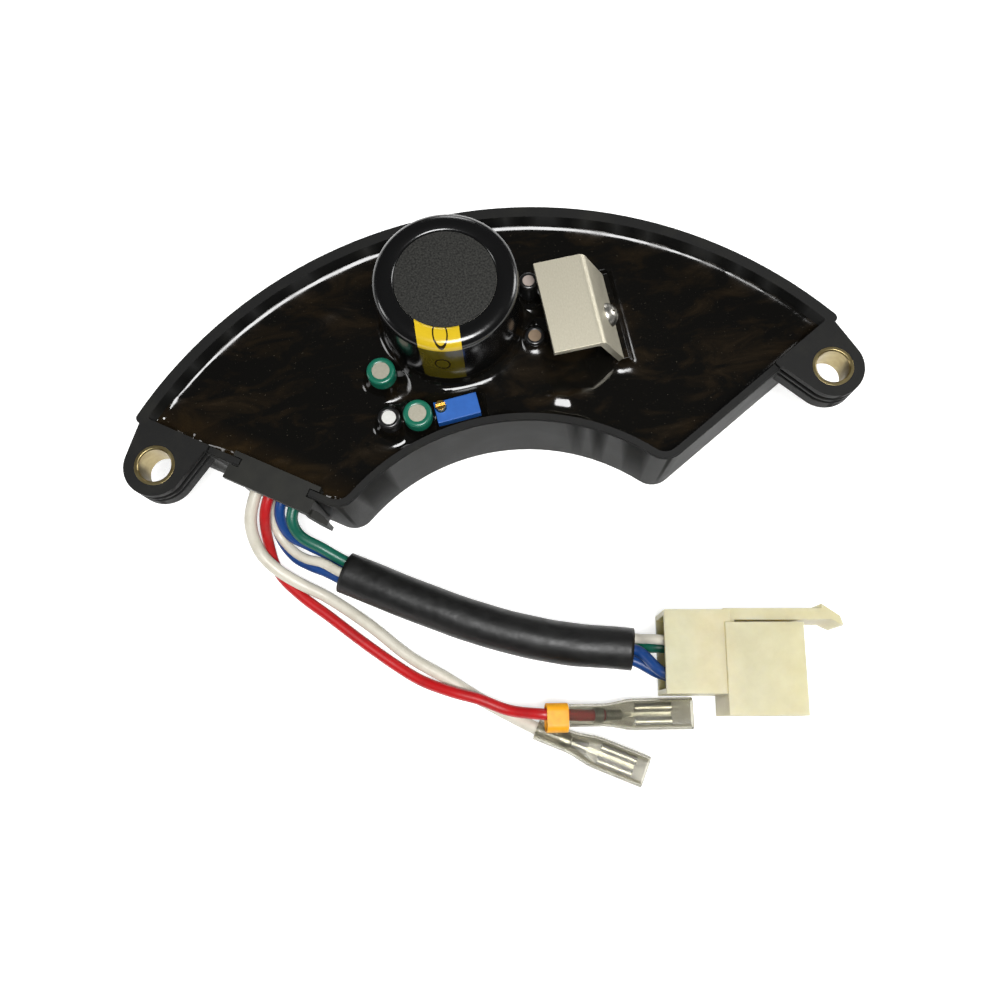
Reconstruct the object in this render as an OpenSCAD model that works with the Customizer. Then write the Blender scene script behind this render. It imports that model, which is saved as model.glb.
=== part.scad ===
// Potted half-moon voltage regulator for a small generator.
// The origin is midway between the two fixing bushings, in the plane of the case's flat underside.
// +X points to the right-hand bushing, +Y to the outer arc and +Z out of the open side of the case.

/* [Case] */
// Distance between the axes of the two fixing bushings
hole_spacing = 148; // [147:0.25:149]
// Distance from the line of the bushings down to the centre of the arcs
arc_drop = 49.3; // [48.8:0.1:49.8]
// Outer radius of the half-moon
outer_r = 98.4; // [98:0.1:99]
// Inner radius of the half-moon, which clears the machine's shaft and bearing boss
inner_r = 48; // [46:0.2:50]
// Angle from +Y at which each end wall runs, seen from the arc centre
end_angle = 58; // [57.5:0.1:58.5]
// Distance of each end wall's outer face from the radial line at that angle
end_setback = 9.7; // [9.4:0.1:10]
// Height of the inner and end rims
rim_h = 22.8; // [21.5:0.1:23.2]
// Height of the outer rim and of the top of the ears
outer_rim_h = 23.8; // [23.4:0.1:24.6]
// Thickness of the outer wall
outer_wall = 2.4; // [2:0.1:3]
// Thickness of the inner wall
inner_wall = 1.7; // [1.4:0.1:2]
// Thickness of the end walls
end_wall = 1.6; // [1.4:0.1:1.8]
// Thickness of the floor
floor_t = 2; // [1.6:0.1:3]
// Radius of the rounded inner corners
corner_r = 5; // [4:0.25:6]
// Radius of the rounded outer corners
nub_r = 1.2; // [0.8:0.1:1.4]
// Depth of the fine step that runs along the outside of the inner and end rims
rim_step = 0.25; // [0.15:0.05:0.4]
// Height of that step below the rim
rim_step_h = 0.5; // [0.3:0.1:0.8]
// Radius of the posts that carry the circuit board
post_r = 3; // [2.5:0.1:3.5]
// Radius of the locating studs on the posts
stud_r = 1; // [0.8:0.1:1.2]
// Angle of the inner pair of posts
post_inner_angle = 19; // [17:0.5:21]
// Angle of the outer pair of posts
post_outer_angle = 43; // [42:0.5:44]

/* [Ears] */
// Radius of each ear around its bushing
ear_r = 6.8; // [6.4:0.1:7.4]
// Place along the end wall where the ear begins
ear_root = 80.4; // [78:0.2:82]
// Thickness of the ear's top plate
ear_plate = 1.6; // [1.2:0.1:2]
// Height of the upper groove around the ear
ear_upper_groove = 1.4; // [1:0.1:1.8]
// Height of the rib between the grooves
ear_rib = 0.8; // [0.6:0.1:1.2]
// Height of the lower groove around the ear
ear_lower_groove = 1.2; // [0.8:0.1:1.6]
// Depth of both grooves
ear_groove_d = 0.8; // [0.5:0.1:1.2]
// Outer radius of the steel bushings
bushing_r = 4.45; // [4.2:0.05:4.7]
// Bore radius of the bushings
bore_r = 3.55; // [3.2:0.05:3.8]
// Length of the bushings
bushing_h = 8; // [7:0.25:9]
// Chamfer at both mouths of each bushing
bushing_chamfer = 0.25; // [0.1:0.05:0.35]

/* [Cable clip plate] */
// Place along the left end wall where the plate's opening begins
slot_start = 55.9; // [55.6:0.1:56.4]
// Place along the left end wall where the opening ends
slot_end = 72.6; // [72.3:0.1:73]
// Height of the opening's sill
slot_sill = 4.6; // [4:0.1:5]
// Running clearance between plate and case
clip_gap = 0.2; // [0.1:0.05:0.3]
// Length of the lips that clasp the case wall at both ends
clip_lip = 2; // [1.6:0.1:2.4]
// Thickness of the inner lip
clip_inner_lip = 0.9; // [0.7:0.1:1]
// Thickness of the outer lip
clip_outer_lip = 1.7; // [1.4:0.1:2]
// Thickness of the top flange
clip_flange_t = 2; // [1.6:0.1:2.4]
// Overhang of the flange at the outside
clip_overhang = 1.5; // [1:0.1:2]
// Overhang of the flange at the inside
clip_inner_overhang = 0.3; // [0.2:0.05:0.5]
// Length of the snap arm beyond the plate
clip_arm = 4.2; // [3.6:0.1:4.6]
// Thickness of the snap arm at its root
clip_arm_t = 1.6; // [1.3:0.1:1.8]
// Height of the snap arm
clip_arm_h = 6; // [4:0.5:8]
// Distance of the arm's top below the flange's top
clip_arm_drop = 2.4; // [2:0.1:3]
// Clearance of the wire holes
wire_gap = 0.12; // [0.08:0.01:0.16]
// Height of the upper row of wire holes
upper_row_z = 13; // [12.8:0.1:13.4]
// Height of the middle wire hole
middle_row_z = 9.8; // [9.6:0.1:10]
// Height of the lowest wire hole
lower_row_z = 6.7; // [6.5:0.1:6.9]

/* [Potting and circuit board] */
// Level of the potting resin
potting_h = 18.8; // [17.8:0.1:19.4]
// Level of the circuit board's upper face
board_h = 14.2; // [13.6:0.1:14.6]
// Thickness of the circuit board
board_t = 1.6; // [1.2:0.1:2]
// Gap between the board and the case walls
board_gap = 2; // [1.6:0.1:2.6]
// Length of the component leads below the board
lead_out = 1.2; // [0.8:0.1:2]

/* [Main capacitor] */
// Place of the main capacitor along X
can_x = -6.3; // [-7:0.1:-5.6]
// Place of the main capacitor along Y
can_y = 26.3; // [26:0.1:27]
// Radius of the aluminium can
can_r = 15; // [14.5:0.1:15.2]
// Overall height of the main capacitor above the board
can_h = 24.3; // [22:0.1:30]
// Thickness of its printed sleeve
can_sleeve_t = 0.5; // [0.3:0.05:0.6]
// Radius of the rounded top edge
can_edge_r = 1.6; // [1.2:0.1:2]
// Radius of the end disc
end_disc_r = 10.8; // [10:0.1:12]
// Depth of the end disc below the sleeve's top
end_disc_drop = 0.1; // [0.05:0.05:0.2]
// Radius of its two pins
can_pin_r = 0.75; // [0.5:0.05:1]
// Distance between its two pins
can_pin_pitch = 10; // [8:0.5:12]

/* [Small capacitors] */
// Radius of the two green capacitors
green_r = 3.15; // [2.9:0.05:3.3]
// Height of the two green capacitors
green_h = 11.1; // [9:0.1:13]
// Place of the rear green capacitor along X
green_rear_x = -23.1; // [-24:0.1:-22.8]
// Place of the rear green capacitor along Y
green_rear_y = 13.4; // [12.6:0.1:13.8]
// Place of the front green capacitor along X
green_front_x = -16.4; // [-16.8:0.1:-16]
// Place of the front green capacitor along Y
green_front_y = 2.6; // [2.5:0.1:3]
// Radius of the black capacitor
black_r = 2.5; // [2.3:0.05:2.6]
// Height of the black capacitor
black_h = 11; // [9:0.1:13]
// Place of the black capacitor along X
black_x = -22.6; // [-23:0.1:-22.4]
// Place of the black capacitor along Y
black_y = 2.6; // [2.4:0.1:3]
// Radius of the slim capacitor behind
slim_r = 2.1; // [1.9:0.05:2.3]
// Height of the slim capacitor behind
slim_h = 11; // [9:0.1:13]
// Height of its leads above the board
slim_lift = 1.8; // [1:0.1:3]
// Place of the slim capacitor along X
slim_x = 11.7; // [11.5:0.1:12.5]
// Place of the slim capacitor along Y
slim_y = 28.6; // [28:0.1:29.5]
// Radius of the low capacitor in front of it
low_r = 2.3; // [2.1:0.05:2.5]
// Height of the low capacitor
low_h = 6.3; // [5.5:0.1:8]
// Place of the low capacitor along X
low_x = 11.6; // [11.5:0.1:12.5]
// Place of the low capacitor along Y
low_y = 18.3; // [17.5:0.1:19]
// Thickness of all the small sleeves
small_sleeve_t = 0.15; // [0.1:0.01:0.2]
// Radius of all the small leads
small_lead_r = 0.3; // [0.25:0.05:0.4]

/* [Trimmer] */
// Place of the trimmer's centre along X
trim_x = -7.8; // [-8.2:0.1:-7.4]
// Place of the trimmer's centre along Y
trim_y = 2.9; // [2.8:0.1:3.2]
// Angle of the trimmer on the board
trim_angle = 6.6; // [3:0.2:9]
// Length of the trimmer
trim_l = 9.53; // [9.3:0.01:9.8]
// Width of the trimmer
trim_w = 4.83; // [4.6:0.01:5.1]
// Height of the trimmer
trim_h = 10; // [9:0.1:11]
// Radius of the adjuster screw
adjuster_r = 1.12; // [1:0.01:1.2]
// Running clearance of the adjuster screw
adjuster_gap = 0.06; // [0.04:0.01:0.08]
// Distance of the screw's axis from the trimmer's end and side
adjuster_inset = 1.42; // [1.4:0.01:1.5]
// Length of the screw inside the trimmer
adjuster_depth = 3; // [2:0.1:4]
// Length of the screw that stands out
adjuster_out = 1.5; // [1:0.1:1.8]
// Width of the screw's slot
slot_w = 0.5; // [0.4:0.05:0.7]
// Depth of the screw's slot
slot_d = 0.6; // [0.4:0.05:0.8]

/* [Heatsink bracket] */
// Place of the bracket's corner along X
bracket_x = 0; // [-0.4:0.1:0.4]
// Place of the bracket's corner along Y
bracket_y = 0; // [-0.4:0.1:0.4]
// Angle of the bracket about the vertical
bracket_angle = 3.8; // [3:0.2:4.6]
// Start of the top plate
bracket_start = 14.6; // [14:0.1:16]
// Place where the outer faces of plate and flange would meet
bracket_bend = 25.5; // [25:0.1:26]
// Front edge of the bracket
bracket_front = 7.5; // [7:0.1:8]
// Width of the bracket
bracket_w = 20.8; // [19:0.1:22]
// Height of the top plate's upper face
bracket_top = 33.5; // [32.5:0.1:35]
// Sheet thickness
sheet_t = 1.5; // [1.2:0.1:1.8]
// Outer radius of the bend
bend_r = 2; // [1.9:0.1:2.6]
// Lean of the flange from the vertical
flange_lean = 23.2; // [21:0.2:25]
// Length of the flange below the bend
flange_len = 16.2; // [15.6:0.1:16.6]
// Distance of the screw below the bend
screw_down = 7.9; // [7.4:0.1:8.4]
// Distance of the screw from the front edge
screw_across = 9.3; // [8.8:0.1:9.8]
// Radius of the screw's shank
screw_r = 1.5; // [1.3:0.05:1.6]
// Radius of the screw's head
screw_head_r = 2.75; // [2.5:0.05:3]
// Height of the screw's domed head
screw_head_h = 2; // [1.6:0.1:2.4]
// Width across the flats of the nut
nut_af = 5.5; // [5:0.1:6]
// Thickness of the nut
nut_t = 2.4; // [2:0.1:2.6]
// Width of the power transistor
transistor_w = 7.8; // [7.2:0.1:8.4]
// Length of the power transistor
transistor_l = 11; // [10:0.1:11.2]
// Thickness of the power transistor
transistor_t = 2.7; // [2.4:0.1:3]
// Distance of its fixing hole from its top
transistor_hole = 3.75; // [3.4:0.05:4]

/* [Buried components] */
// Radius of the rectifier diodes
diode_r = 1.35; // [1.2:0.05:1.4]
// Length of the rectifier diodes
diode_l = 5.2; // [4.6:0.1:5.6]
// Radius of the diodes' leads
diode_lead_r = 0.4; // [0.3:0.05:0.45]
// Radius of the small resistors
resistor_r = 1.15; // [1:0.05:1.3]
// Length of the small resistors
resistor_l = 6.3; // [5.8:0.1:6.8]
// Distance between the two legs of a diode or small resistor
leg_pitch = 10; // [9.6:0.1:10.4]
// Radius of the power resistors
power_resistor_r = 2; // [1.8:0.05:2.1]
// Length of the power resistors
power_resistor_l = 11; // [10:0.1:12]
// Distance between the legs of a power resistor
power_leg_pitch = 14; // [13.6:0.1:14.4]
// Angle between neighbouring small resistors
resistor_step_angle = 4.6; // [4.4:0.1:4.8]
// Angle of the first diode from the middle of the case
diode_start_angle = 30.5; // [30:0.5:31]
// Angle between neighbouring diodes
diode_step_angle = 2.8; // [2.6:0.1:3]
// Length of the control chip
chip_l = 9.8; // [9.4:0.1:10.2]
// Width of the control chip
chip_w = 6.4; // [6:0.1:6.8]
// Thickness of the control chip
chip_t = 3.2; // [2.8:0.1:3.6]
// Pitch of the control chip's pins
chip_pitch = 2.54; // [2.5:0.01:2.58]

/* [Wires] */
// Radius of the white power wire
white_r = 1.4; // [1.3:0.05:1.45]
// Radius of the red power wire
red_r = 1.25; // [1.15:0.05:1.3]
// Radius of the white sensing wire
white_sense_r = 1.1; // [1:0.05:1.15]
// Radius of the two blue wires
blue_r = 1.2; // [1.1:0.05:1.25]
// Radius of the green wire
green_wire_r = 1.3; // [1.2:0.05:1.35]
// Outer radius of the sleeve over the four thin wires
sleeve_r = 4.8; // [4.6:0.1:5]
// Wall of that sleeve
sleeve_t = 0.5; // [0.4:0.05:0.6]

/* [Connector] */
// Place of the connector's rear face along X
conn_x = 28.5; // [28:0.1:29]
// Place of the connector's rear face along Y
conn_y = -54.3; // [-54.6:0.05:-54]
// Angle of the connector
conn_angle = -8.3; // [-9:0.1:-7.6]
// Length of the rear skirt and contact block
conn_rear_l = 14; // [13.5:0.1:14.5]
// Width of the rear skirt
conn_rear_w = 17.8; // [17.4:0.1:18]
// Height of the rear skirt
conn_rear_h = 14; // [13.5:0.1:14.5]
// Depth of the open skirt behind the contact block
skirt_depth = 6; // [5:0.1:7]
// Length of the front shell
shell_l = 16.6; // [16:0.1:18]
// Width of the front shell
shell_w = 19.5; // [19:0.1:20]
// Height of the front shell
shell_h = 15; // [14.5:0.1:15.5]
// Sideways shift of the front shell
shell_shift = -3.6; // [-3.8:0.1:-3.4]
// Wall of the connector
conn_wall = 1.2; // [1:0.1:1.4]
// Gap between the shell and the latch arm
latch_gap = 0.6; // [0.4:0.1:0.8]
// Thickness of the latch arm
latch_t = 2.5; // [2.2:0.1:2.8]
// Length of the latch arm in front of the shell
latch_reach = 9; // [8:0.1:10]
// Height of the latch's barb
latch_barb = 1; // [0.6:0.1:1.4]
// Distance between the two columns of contacts
contact_column = 7; // [6.8:0.1:7.2]
// Distance between the two rows of contacts
contact_row = 5.4; // [5.2:0.1:5.6]
// Sideways shift of the contacts
contact_shift = -1.9; // [-2.2:0.1:-1.6]
// Width of each contact blade
blade_w = 4.8; // [4.4:0.1:5]
// Thickness of each contact blade
blade_t = 0.8; // [0.6:0.1:0.9]
// Length of each blade inside the shell
blade_l = 9; // [8:0.1:10]

/* [Terminals and boots] */
// Outer radius of a boot's neck
boot_neck_r = 2.5; // [2.4:0.05:2.7]
// Length of a boot's neck
boot_neck_l = 7.6; // [7:0.1:8]
// Length of a boot's flare
boot_flare_l = 6.8; // [6:0.1:7.5]
// Overall length of the boot on the red wire
boot_red_l = 27.3; // [26:0.1:28]
// Overall length of the boot on the white wire
boot_white_l = 25.4; // [25:0.1:27]
// Width of a boot's wide end
boot_w = 7; // [6.8:0.1:7.2]
// Height of a boot's wide end
boot_h = 4.6; // [4.4:0.1:5]
// Corner radius of a boot's wide end
boot_corner_r = 1.6; // [1.2:0.1:2]
// Wall of the boots
boot_wall = 0.55; // [0.5:0.05:0.6]
// Width of the push-on receptacles
tab_w = 5.4; // [5:0.1:5.6]
// Height of the push-on receptacles
tab_h = 2.4; // [2.2:0.1:2.6]
// Length of the push-on receptacles
tab_l = 8; // [7.5:0.1:8.4]
// Sheet thickness of the terminals
tab_t = 0.35; // [0.3:0.05:0.4]
// Length of the crimp on the wire's insulation
grip_l = 2; // [1.6:0.1:2.4]
// Length of the crimp on the bare conductor
crimp_l = 3.6; // [3:0.1:4]
// Length of the yellow band
band_l = 4.8; // [4.4:0.1:5]
// Width of the yellow band
band_w = 6.4; // [6:0.1:6.8]
// Height of the yellow band
band_h = 3.6; // [3.5:0.05:3.8]
// Wall of the yellow band
band_t = 0.35; // [0.3:0.05:0.4]

/* [Hidden] */
$fn = 96;
// Overrun of every cut
cut = 1;
// How far a corner's cutter reaches past the corner, as a share of the corner's own depth
overshoot_share = 0.3;
// How far out an ear's straight sides meet its round end, as a share of its radius
touch_share = 0.999;
// Small angle by which a bend runs on into the flat sheet on both sides
lap_angle = 0.5;
// Points along the rounding of an inner and of an outer corner
corner_steps = 8;
nub_steps = 6;
// Sides of the wires and of the sleeve over them
wire_sides = 8;
sleeve_sides = 12;
// Radius of a small can that its sleeve leaves bare, as a share of the capacitor's radius
bare_end_share = 0.62;
// Length of the cross recess, as a share of the screw head's width
recess_share = 0.6;
// Places of the buried power resistors and of the control chip, as shares of the inner posts' angle
power_resistor_shares = [-1.22, 0.84];
chip_place_share = 0.66;
// Distance of a row of the chip's leads from its middle, as a share of its width
chip_row_share = 0.42;
chip_leads = 4;
// Pocket of the case
pocket_r = outer_r - outer_wall;
pocket_in_r = inner_r + inner_wall;
pocket_set = end_setback + end_wall;
pocket_corner = corner_r - end_wall;
pocket_nub = nub_r / 2;
board_bottom = board_h - board_t;
ear_bottom = outer_rim_h - bushing_h;
// Full-height wall left beside each ear, and the depth inside the wall at which the ear joins it
ear_shoulder = end_wall / 5;
ear_join = end_setback + end_wall / 2;
// The bushing's axis in the frame of its own end wall
hole_s = hole_spacing / 2 * sin(end_angle) + arc_drop * cos(end_angle);
hole_d = arc_drop * sin(end_angle) - hole_spacing / 2 * cos(end_angle);
// Place along the end wall where the rounded outer corner begins
corner_s = sqrt(pow(outer_r - nub_r, 2) - pow(end_setback + nub_r, 2));
// Heights of the ear's layers, from the bottom: first and last are the base and the top plate
ear_base = bushing_h - ear_plate - ear_upper_groove - ear_rib - ear_lower_groove;
// Radius on which the posts and the buried rows lie
mid_r = (pocket_r + pocket_in_r) / 2;
// Clip plate
clip_back = pocket_set + clip_gap + clip_inner_lip;
clip_front = end_setback - clip_gap - clip_outer_lip;
clip_start = slot_start - clip_lip;
clip_end = slot_end + clip_lip;
clip_groove_t = end_wall + 2 * clip_gap;
// Places of the wires along the left end wall, from the inner corner outwards
slot_mid = (slot_start + slot_end) / 2;
green_wire_s = slot_mid - 3 * blue_r - green_wire_r / 4 + wire_gap;
blue_1_s = green_wire_s + blue_r + green_wire_r + 5 * wire_gap;
red_s = blue_1_s + blue_r + red_r + 6 * wire_gap;
white_s = red_s + red_r + white_r + 4 * wire_gap;
white_sense_s = red_s;
blue_2_s = red_s - wire_gap;
// Routes of the wires beyond the clip plate
white_points = [
    [-57.8, -12.2, 10.3], [-57.2, -18.4, 6.7], [-54.2, -22.7, 4.8], [-49.6, -26.5, 3.6],
    [-43.9, -30.3, 1.6], [-35, -38.1, 1.5], [-26.7, -46.6, 1.5], [-19.2, -52.4, 1.5],
    [-12.4, -58, 1.5], [-5, -63.4, 1.9]
];
red_points = [
    [-54.4, -11.4, 10.6], [-55.5, -16.8, 4.4], [-54.5, -22.9, 1.3], [-49.9, -29, 1.3],
    [-44, -34.7, 1.3], [-37, -41.6, 1.3], [-29.8, -48.2, 1.3], [-24.6, -52.3, 2],
    [-18, -55.8, 4.1], [-12.4, -58.2, 4.7], [-6.2, -61.5, 5], [0.9, -63.4, 7.2], [4, -63.8, 6.85]
];
white_sense_points = [
    [-53.6, -10.4, 7.7], [-52.9, -14.6, 4.7], [-50.5, -18.5, 4.1], [-47.4, -21.2, 4.7], [-43.5, -23, 5.9]
];
blue_1_points = [[-50.9, -12.4, 11], [-49.8, -16, 7.4], [-46.6, -18.1, 4.6], [-43.2, -20.3, 3.1]];
blue_2_points = [
    [-53.6, -10.8, 4.2], [-53.2, -15.2, 1.4], [-50.4, -19.9, 1.3], [-47, -22.5, 1.5], [-43.4, -24.6, 2.2]
];
green_points = [[-48.1, -14, 12], [-47, -17, 9.6], [-43, -19.9, 7.4]];
sleeve_points = [
    [-38.6, -25.8, 4.9], [-23.6, -34.5, 4.9], [-8, -42.7, 4.9], [7, -48.5, 4.9], [22.8, -52.3, 4.9]
];
// Distance of the four strands from the sleeve's centre line, and their angles about it at its two ends
strand_r = 2.4;
white_sense_angles = [105, 10];
blue_1_angles = [312, 190];
blue_2_angles = [222, 95];
green_wire_angles = [25, -75];
// Boots: place and height of each neck, direction, and fall of the neck towards the wide end
boot_red_at = [6.6, -64.5];
boot_red_angle = -7.1;
boot_red_rise = 3.9;
boot_white_at = [-0.8, -66.2];
boot_white_angle = -29.6;
boot_white_rise = 0.5;
band_at = [3.8, -64.6, 6.8];
band_tilt = 9.8;

// Frame of an end wall: x runs along the wall from the arc centre, y into the case
module at_end(side) {
    translate([0, -arc_drop, 0])
        mirror([side < 0 ? 1 : 0, 0, 0])
            rotate(90 - end_angle)
                children();
}

// The same as a point, for the left end
function left_end(s, d, z) = [
    d * cos(end_angle) - s * sin(end_angle),
    s * cos(end_angle) + d * sin(end_angle) - arc_drop,
    z
];

// Point at radius r and angle a from +Y about the arc centre
function on_arc(r, a) = [r * sin(a), r * cos(a) - arc_drop];

// Point where a tangent from p touches the circle about c; turn is +1 or -1
function touch(p, c, r, turn) =
    let (d = p - c, a = atan2(d[1], d[0]) + turn * acos(r / norm(d)))
    c + r * [cos(a), sin(a)];

// Cutter that rounds a corner with its tip at tip: c is the centre of the rounding, a0 and a1 its two ends
function corner_cutter(c, r, a0, a1, n, tip) =
    let (p = [for (i = [0 : n]) let (a = a0 + (a1 - a0) * i / n) c + r * [cos(a), sin(a)]])
    concat(
        [2 * p[0] - p[1]], [for (i = [1 : n - 1]) p[i]],
        [2 * p[n] - p[n - 1], tip + (tip - c) * overshoot_share]
    );

// Half-moon outline with rounded inner corners and small rounded outer corners
module half_moon(r_out, r_in, setback, r_corner, r_nub) {
    in_c = [sqrt(pow(r_in + r_corner, 2) - pow(setback + r_corner, 2)), setback + r_corner];
    out_c = [sqrt(pow(r_out - r_nub, 2) - pow(setback + r_nub, 2)), setback + r_nub];
    in_tip = [sqrt(r_in * r_in - setback * setback), setback];
    out_tip = [sqrt(r_out * r_out - setback * setback), setback];
    difference() {
        translate([0, -arc_drop])
            circle(r_out);
        translate([0, -arc_drop])
            circle(r_in);
        for (side = [-1, 1])
            at_end(side) {
                translate([-2 * r_out, -2 * r_out])
                    square([4 * r_out, 2 * r_out + setback]);
                polygon(corner_cutter(
                    in_c, r_corner, 270, 180 + atan2(in_c[1], in_c[0]), corner_steps, in_tip
                ));
                polygon(corner_cutter(
                    out_c, r_nub, -90, atan2(out_c[1], out_c[0]), nub_steps, out_tip
                ));
            }
    }
}

module pocket_outline() {
    half_moon(pocket_r, pocket_in_r, pocket_set, pocket_corner, pocket_nub);
}

// Outline of one ear in the frame of its end wall, drawn in by the depth of a groove
module ear_outline(inset) {
    hole = [hole_s, hole_d];
    r = ear_r - inset;
    start = [ear_root + inset, ear_join];
    finish = [corner_s - inset, ear_join];
    translate(hole)
        circle(r);
    polygon([
        touch(start, hole, r * touch_share, 1), start, finish, touch(finish, hole, r * touch_share, -1), hole
    ]);
}

module ear() {
    z1 = ear_base;
    z2 = z1 + ear_lower_groove;
    z3 = z2 + ear_rib;
    z4 = z3 + ear_upper_groove;
    linear_extrude(z1)
        ear_outline(0);
    translate([0, 0, z1])
        linear_extrude(z2 - z1)
            ear_outline(ear_groove_d);
    translate([0, 0, z2])
        linear_extrude(z3 - z2)
            ear_outline(0);
    translate([0, 0, z3])
        linear_extrude(z4 - z3)
            ear_outline(ear_groove_d);
    translate([0, 0, z4])
        linear_extrude(ear_plate)
            ear_outline(0);
}

module posts() {
    for (a = [-post_outer_angle, -post_inner_angle, post_inner_angle, post_outer_angle])
        translate(concat(on_arc(mid_r, a), floor_t / 2)) {
            cylinder(r = post_r, h = board_bottom - floor_t / 2);
            cylinder(r = stud_r, h = board_h + stud_r / 2 - floor_t / 2);
        }
}

// Plan of what lies inside the outer wall, without the stretches of end wall that carry the ears
module lowered_region() {
    difference() {
        translate([0, -arc_drop])
            circle(pocket_r);
        for (side = [-1, 1])
            at_end(side)
                translate([ear_root - ear_shoulder, -2 * outer_r])
                    square([2 * outer_r, 2 * outer_r + pocket_set + cut]);
    }
}

// Outer walls with the inner and end rims lowered and the fine step cut along them
module case_shell() {
    difference() {
        linear_extrude(outer_rim_h)
            half_moon(outer_r, inner_r, end_setback, corner_r, nub_r);
        translate([0, 0, rim_h])
            linear_extrude(outer_rim_h)
                lowered_region();
        translate([0, 0, rim_h - rim_step_h])
            linear_extrude(outer_rim_h)
                difference() {
                    lowered_region();
                    half_moon(
                        outer_r + cut, inner_r + rim_step, end_setback + rim_step, corner_r - rim_step, nub_r
                    );
                }
    }
}

module case() {
    color("#3d3d3b") {
        difference() {
            union() {
                case_shell();
                for (side = [-1, 1])
                    translate([0, 0, ear_bottom])
                        at_end(side)
                            ear();
            }
            translate([0, 0, floor_t])
                linear_extrude(outer_rim_h)
                    pocket_outline();
            for (side = [-1, 1])
                translate([side * hole_spacing / 2, 0, ear_bottom - cut])
                    cylinder(r = bushing_r, h = bushing_h + 2 * cut);
            at_end(-1)
                translate([slot_start, end_setback - cut, slot_sill])
                    cube([slot_end - slot_start, end_wall + 2 * cut, outer_rim_h]);
        }
        posts();
    }
}

module bushing(side) {
    color("#c9b176")
    translate([side * hole_spacing / 2, 0, ear_bottom])
        rotate_extrude()
            polygon([
                [bore_r + bushing_chamfer, 0], [bushing_r, 0], [bushing_r, bushing_h],
                [bore_r + bushing_chamfer, bushing_h], [bore_r, bushing_h - bushing_chamfer],
                [bore_r, bushing_chamfer]
            ]);
}

module bushing_left() {
    bushing(-1);
}

module bushing_right() {
    bushing(1);
}

// Hole of one wire through the clip plate, in the frame of the left end wall
module wire_hole(s, z, r) {
    translate([s, clip_front - cut, z])
        rotate([-90, 0, 0])
            cylinder(r = r + wire_gap, h = clip_back - clip_front + 2 * cut);
}

module cable_clip_plate() {
    body_h = rim_h - clip_flange_t - slot_sill;
    arm_top = rim_h - clip_arm_drop;
    arm_in = clip_front + clip_gap;
    color("#4a4b49")
    at_end(-1)
        difference() {
            union() {
                translate([clip_start, clip_front, slot_sill])
                    cube([clip_end - clip_start, clip_back - clip_front, body_h]);
                translate([clip_start, clip_front - clip_overhang, slot_sill + body_h])
                    cube([
                        clip_end - clip_start, clip_back - clip_front + clip_overhang + clip_inner_overhang,
                        clip_flange_t
                    ]);
                translate([0, 0, arm_top - clip_arm_h])
                    linear_extrude(clip_arm_h)
                        polygon([
                            [clip_start + clip_lip, arm_in], [clip_start - clip_arm / 3, arm_in - clip_gap],
                            [clip_start - clip_arm, arm_in - clip_arm_t * 3 / 4],
                            [clip_start - clip_arm, arm_in - clip_arm_t * 4 / 3],
                            [clip_start - clip_arm / 3, arm_in - clip_arm_t * 5 / 4],
                            [clip_start + clip_lip, arm_in - clip_arm_t]
                        ]);
            }
            translate([clip_start - cut, end_setback - clip_gap, slot_sill - cut])
                cube([clip_lip + clip_gap + cut, clip_groove_t, rim_h]);
            translate([slot_end - clip_gap, end_setback - clip_gap, slot_sill - cut])
                cube([clip_lip + clip_gap + cut, clip_groove_t, rim_h]);
            wire_hole(white_s, upper_row_z, white_r);
            wire_hole(red_s, upper_row_z, red_r);
            wire_hole(blue_1_s, upper_row_z, blue_r);
            wire_hole(green_wire_s, upper_row_z, green_wire_r);
            wire_hole(white_sense_s, middle_row_z, white_sense_r);
            wire_hole(blue_2_s, lower_row_z, blue_r);
        }
}

// Two straight leads below a small capacitor
module lead_pair(pitch, r, lift) {
    for (side = [-1, 1])
        translate([side * pitch / 2, 0, board_bottom - lead_out])
            cylinder(r = r, h = board_t + lead_out + lift);
}

// Body of a can with a rounded top edge, standing at z = 0
module round_can(r, h, edge) {
    rotate_extrude() {
        square([r, h - edge]);
        square([r - edge, h]);
        translate([r - edge, h - edge])
            intersection() {
                circle(edge);
                square(edge);
            }
    }
}

// Aluminium can of a small capacitor with its leads
module small_can(r, h, lift) {
    translate([0, 0, board_h + lift])
        round_can(r - small_sleeve_t, h - small_sleeve_t, small_sleeve_t * 2);
    lead_pair(r, small_lead_r, lift);
}

// Its printed sleeve, which turns in over the top edge
module small_sleeve(r, h, lift) {
    translate([0, 0, board_h + lift])
        difference() {
            round_can(r, h, small_sleeve_t * 3);
            translate([0, 0, -cut])
                cylinder(r = r - small_sleeve_t, h = cut + small_sleeve_t);
            round_can(r - small_sleeve_t, h - small_sleeve_t, small_sleeve_t * 2);
            cylinder(r = r * bare_end_share, h = h + cut);
        }
}

// Space that a small capacitor takes up
module small_space(x, y, r, h, lift) {
    translate([x, y, 0]) {
        translate([0, 0, board_h + lift])
            cylinder(r = r, h = h);
        lead_pair(r, small_lead_r, lift);
    }
}

module can_pins() {
    for (side = [-1, 1])
        translate([can_x + side * can_pin_pitch / 2, can_y, board_bottom - lead_out])
            cylinder(r = can_pin_r, h = board_t + lead_out);
}

module capacitor_can() {
    color("#b9bab7")
    union() {
        translate([can_x, can_y, board_h])
            round_can(can_r, can_h - can_sleeve_t, can_edge_r);
        can_pins();
    }
}

module capacitor_sleeve() {
    color("#2a2c2b")
    translate([can_x, can_y, board_h])
        difference() {
            round_can(can_r + can_sleeve_t, can_h, can_edge_r + can_sleeve_t);
            round_can(can_r, can_h - can_sleeve_t, can_edge_r);
            translate([0, 0, -cut])
                cylinder(r = can_r, h = 2 * cut);
            cylinder(r = end_disc_r, h = can_h + cut);
        }
}

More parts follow.
